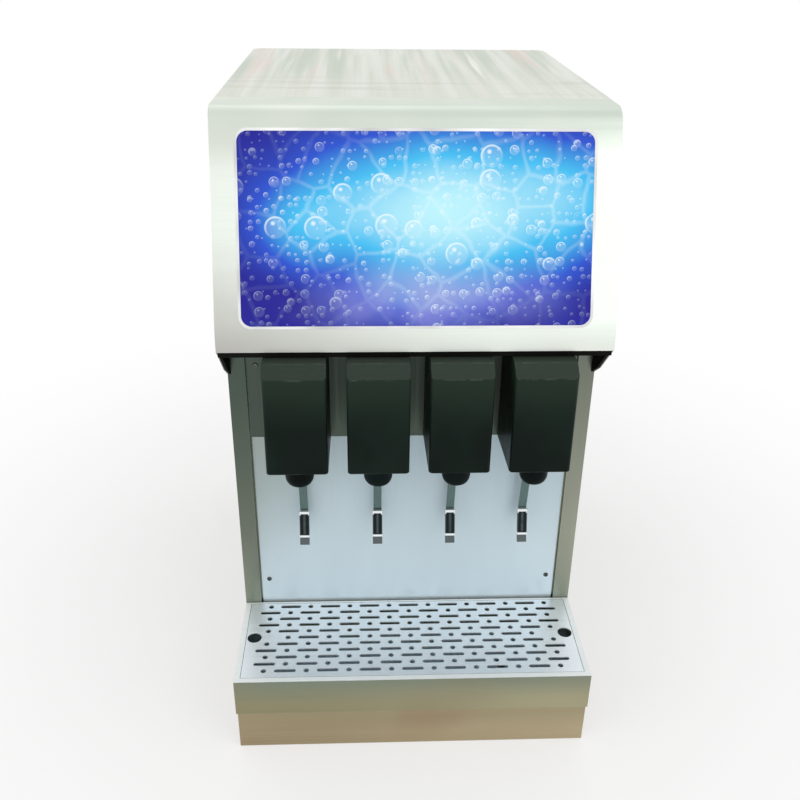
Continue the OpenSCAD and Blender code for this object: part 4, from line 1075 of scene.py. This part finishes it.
class FOUNTAIN_OT_connections(FountainOperator):
    """Dresses the connections at the back: barbed stubs, mains inlet, rocker and knob."""

    bl_idname = "fountain.connections"
    bl_label = "Connections"

    def execute(self, context):
        colours, sizes = self.looks(context)
        for node in ("inlet_stubs", "power_inlet", "power_switch", "drain_outlet"):
            eased_node(node, sizes.small_edge, colours)
        self.barbs(colours, sizes)
        self.knob(colours, sizes)
        self.socket_pins(colours)
        return {"FINISHED"}

    def barbs(self, colours, sizes):
        """Hose barbs on the inlet stubs."""
        shape = bmesh.new()
        end_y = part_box("inlet_stubs")[1].y
        for name, mount in MOUNTS.items():
            if "inlet" not in name:
                continue
            x, _, z = mount["pos_m"]
            radius = mount["dims"]["r_mm"] * MM
            radii = [share * radius for share in BARB_RADII]
            for step in range(BARBS):
                place = (x, end_y - (step + 1) * sizes.barb_step, z)
                turned_disc(shape, place, TO_BACK, radii, BARB_LENGTH * sizes.barb_step)
        fitting("stub_barbs", shape, "cabinet", "brass_fitting", colours)

    def knob(self, colours, sizes):
        """Fluted knob with a pale pointer, and the marks round it."""
        low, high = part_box("thermostat_knob")
        middle = (low + high) / 2
        radius = high.x - middle.x
        back = Vector((middle.x, low.y, middle.z))
        shape = bmesh.new()
        radii = (radius, KNOB_TAPER * radius)
        cap = turned_disc(shape, back, TO_BACK, radii, high.y - low.y, 2 * sizes.knob_flutes)
        sides = [face for face in shape.faces if abs(face.normal.y) < FACES_SIDE]
        bmesh.ops.inset_individual(shape, faces=sides[::2], thickness=FLUTE_INSET, depth=-FLUTE_DEPTH)
        sunk(shape, cap, KNOB_RIM, 0)
        sunk(shape, cap, DISH_STEP, -DISH_STEP)
        fitting("knob_grip", shape, "thermostat", "dark_plastic", colours, ["thermostat_knob"])
        pointer = bmesh.new()
        face_y = high.y - POINTER_SINK
        start = (middle.x - POINTER_HALF, face_y, middle.z + POINTER_START)
        end = (middle.x + POINTER_HALF, face_y + POINTER_HEIGHT, middle.z + POINTER_END * radius)
        rounded_bar(pointer, start, end, POINTER_EDGE)
        fitting("knob_pointer", pointer, "thermostat", "white_plastic", colours)
        marks = bmesh.new()
        plate_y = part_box("power_inlet")[0].y
        reach = radius + MARK_GAP
        for step in range(MARKS):
            angle = math.radians(-MARK_SWEEP * step / (MARKS - 1))
            bar = bmesh.new()
            length = MARK_LONG if step % MARK_LONG_EVERY == 0 else MARK_SHORT
            rounded_bar(bar, (-MARK_HALF, 0, reach), (MARK_HALF, MARK_HEIGHT, reach + length), MARK_EDGE)
            turn = Matrix.Translation((middle.x, plate_y, middle.z)) @ Matrix.Rotation(angle, 4, "Y")
            bmesh.ops.transform(bar, matrix=turn, verts=bar.verts)
            part = mesh_of("mark", bar)
            marks.from_mesh(part)
            bpy.data.meshes.remove(part)
        fitting("dial_marks", marks, "cabinet", "white_plastic", colours)

    def socket_pins(self, colours):
        """Three flat pins in the mains inlet."""
        socket = next(o for o in frame["record"]["physics"]["openings"] if o["name"] == "mains_socket")
        low, high = (Vector(corner) for corner in socket["box_m"])
        middle = (low + high) / 2
        start_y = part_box("power_inlet")[0].y + PIN_START
        shape = bmesh.new()
        for x, z in PIN_PLACES:
            place = Vector((middle.x + x, start_y, middle.z + z))
            rounded_bar(shape, place - PIN_HALF, place + PIN_HALF + PIN_LENGTH, PIN_EDGE)
        fitting("socket_pins", shape, "cabinet", "screw_steel", colours)


# Stage


def softbox(name, place, aim, size, power):
    """A large square lamp that faces a point."""
    lamp = bpy.data.lights.new(name, "AREA")
    lamp.size = size
    lamp.energy = power
    holder = new_object(name, lamp)
    holder.location = place
    holder.rotation_euler = (Vector(aim) - Vector(place)).to_track_quat("-Z", "Y").to_euler()


def seen_rays(tree):
    """1 for rays that show the background: straight, in a reflection or through glass."""
    rays = tree.nodes.new("ShaderNodeLightPath").outputs
    seen = calc(tree, "MAXIMUM", rays["Is Camera Ray"], rays["Is Glossy Ray"])
    return calc(tree, "MAXIMUM", seen, rays["Is Transmission Ray"])


def white_room(strength):
    """World that is white to look at and in reflections, and lights the object at a given strength."""
    world = bpy.data.worlds.new("white_room")
    world.use_nodes = True
    tree = world.node_tree
    tree.nodes.clear()
    level = calc(tree, "ADD", times(tree, seen_rays(tree), 1 - strength), strength)
    sky = add(tree, "ShaderNodeBackground", {"Color": (1, 1, 1, 1), "Strength": level})
    put(tree, tree.nodes.new("ShaderNodeOutputWorld").inputs[0], sky.outputs[0])
    bpy.context.scene.world = world


def pale_floor(half):
    """Wide pale floor that keeps the object's shadow and turns white further out."""
    shape = bmesh.new()
    bmesh.ops.create_grid(shape, x_segments=1, y_segments=1, size=half)
    mesh = mesh_of("floor", shape)
    material, tree, shader, place = new_material("pale_floor")
    cloud = fade(tree, noise(tree, place, 3.0), 0.3, 0.7)
    shade = mix(tree, cloud, (0.93, 0.93, 0.925), (0.95, 0.95, 0.945))
    put_all(tree, shader, {"Base Color": shade, "Roughness": 0.9, "Specular IOR Level": 0.1})
    far = fade(tree, vector_value(tree, "LENGTH", place), 0.35, 1.2, 0.5, 1.0)
    white = add(tree, "ShaderNodeEmission", {"Color": (1, 1, 1, 1), "Strength": 1.0})
    share = times(tree, seen_rays(tree), far)
    both = add(tree, "ShaderNodeMixShader", {0: share, 1: shader.outputs[0], 2: white.outputs[0]})
    put(tree, tree.get_output_node("ALL").inputs[0], both.outputs[0])
    mesh.materials.append(material)
    floor = new_object("floor", mesh)


def photo_camera():
    """Camera at the photograph's place and angle."""
    yaw, pitch, roll = CAMERA_YAW, CAMERA_PITCH, CAMERA_ROLL
    ahead = Vector((math.sin(yaw) * math.cos(pitch), math.cos(yaw) * math.cos(pitch), -math.sin(pitch)))
    right = Vector((math.cos(yaw), -math.sin(yaw), 0))
    over = right.cross(ahead)
    tilted = math.cos(roll) * right + math.sin(roll) * over
    upright = -math.sin(roll) * right + math.cos(roll) * over
    data = bpy.data.cameras.new("photo_camera")
    data.sensor_width = SENSOR
    data.lens = CAMERA_FOCUS / IMAGE_SIZE * SENSOR
    camera = new_object("photo_camera", data)
    turn = Matrix((tilted, upright, -ahead)).transposed().to_4x4()
    camera.matrix_world = Matrix.Translation(CAMERA_PLACE) @ turn
    bpy.context.scene.camera = camera


class FOUNTAIN_OT_stage(FountainOperator):
    """Sets the floor, the light and the camera."""

    bl_idname = "fountain.stage"
    bl_label = "Stage"

    def execute(self, context):
        pale_floor(FLOOR_HALF)
        white_room(ROOM_LIGHT)
        for name, place, size, power in LAMPS:
            softbox(name, place, LAMP_AIM, size, power)
        photo_camera()
        context.scene.view_settings.view_transform = "Standard"
        return {"FINISHED"}


OPERATORS = (
    FOUNTAIN_OT_cabinet,
    FOUNTAIN_OT_head,
    FOUNTAIN_OT_splash,
    FOUNTAIN_OT_drip_tray,
    FOUNTAIN_OT_valves,
    FOUNTAIN_OT_levers,
    FOUNTAIN_OT_cooling,
    FOUNTAIN_OT_connections,
    FOUNTAIN_OT_stage,
)


class FOUNTAIN_PT_looks(bpy.types.Panel):
    """Sidebar panel that lists the fountain's operators."""

    bl_idname = "FOUNTAIN_PT_looks"
    bl_label = "Soda fountain"
    bl_space_type = "VIEW_3D"
    bl_region_type = "UI"
    bl_category = "Soda fountain"

    def draw(self, context):
        for operator in OPERATORS:
            self.layout.operator(operator.bl_idname)


CLASSES = (FountainColours, FountainSizes, *OPERATORS, FOUNTAIN_PT_looks)


def register():
    """Registers the classes and the scene's settings."""
    for cls in CLASSES:
        bpy.utils.register_class(cls)
    bpy.types.Scene.fountain_colours = PointerProperty(type=FountainColours)
    bpy.types.Scene.fountain_sizes = PointerProperty(type=FountainSizes)


def unregister():
    """Removes the scene's settings and the classes."""
    del bpy.types.Scene.fountain_sizes
    del bpy.types.Scene.fountain_colours
    for cls in reversed(CLASSES):
        bpy.utils.unregister_class(cls)


def main():
    """Dresses the frame piece by piece."""
    register()
    bpy.ops.fountain.cabinet()
    bpy.ops.fountain.head()
    bpy.ops.fountain.splash()
    bpy.ops.fountain.drip_tray()
    bpy.ops.fountain.valves()
    bpy.ops.fountain.levers()
    bpy.ops.fountain.cooling()
    bpy.ops.fountain.connections()
    bpy.ops.fountain.stage()


if __name__ == "__main__":
    main()
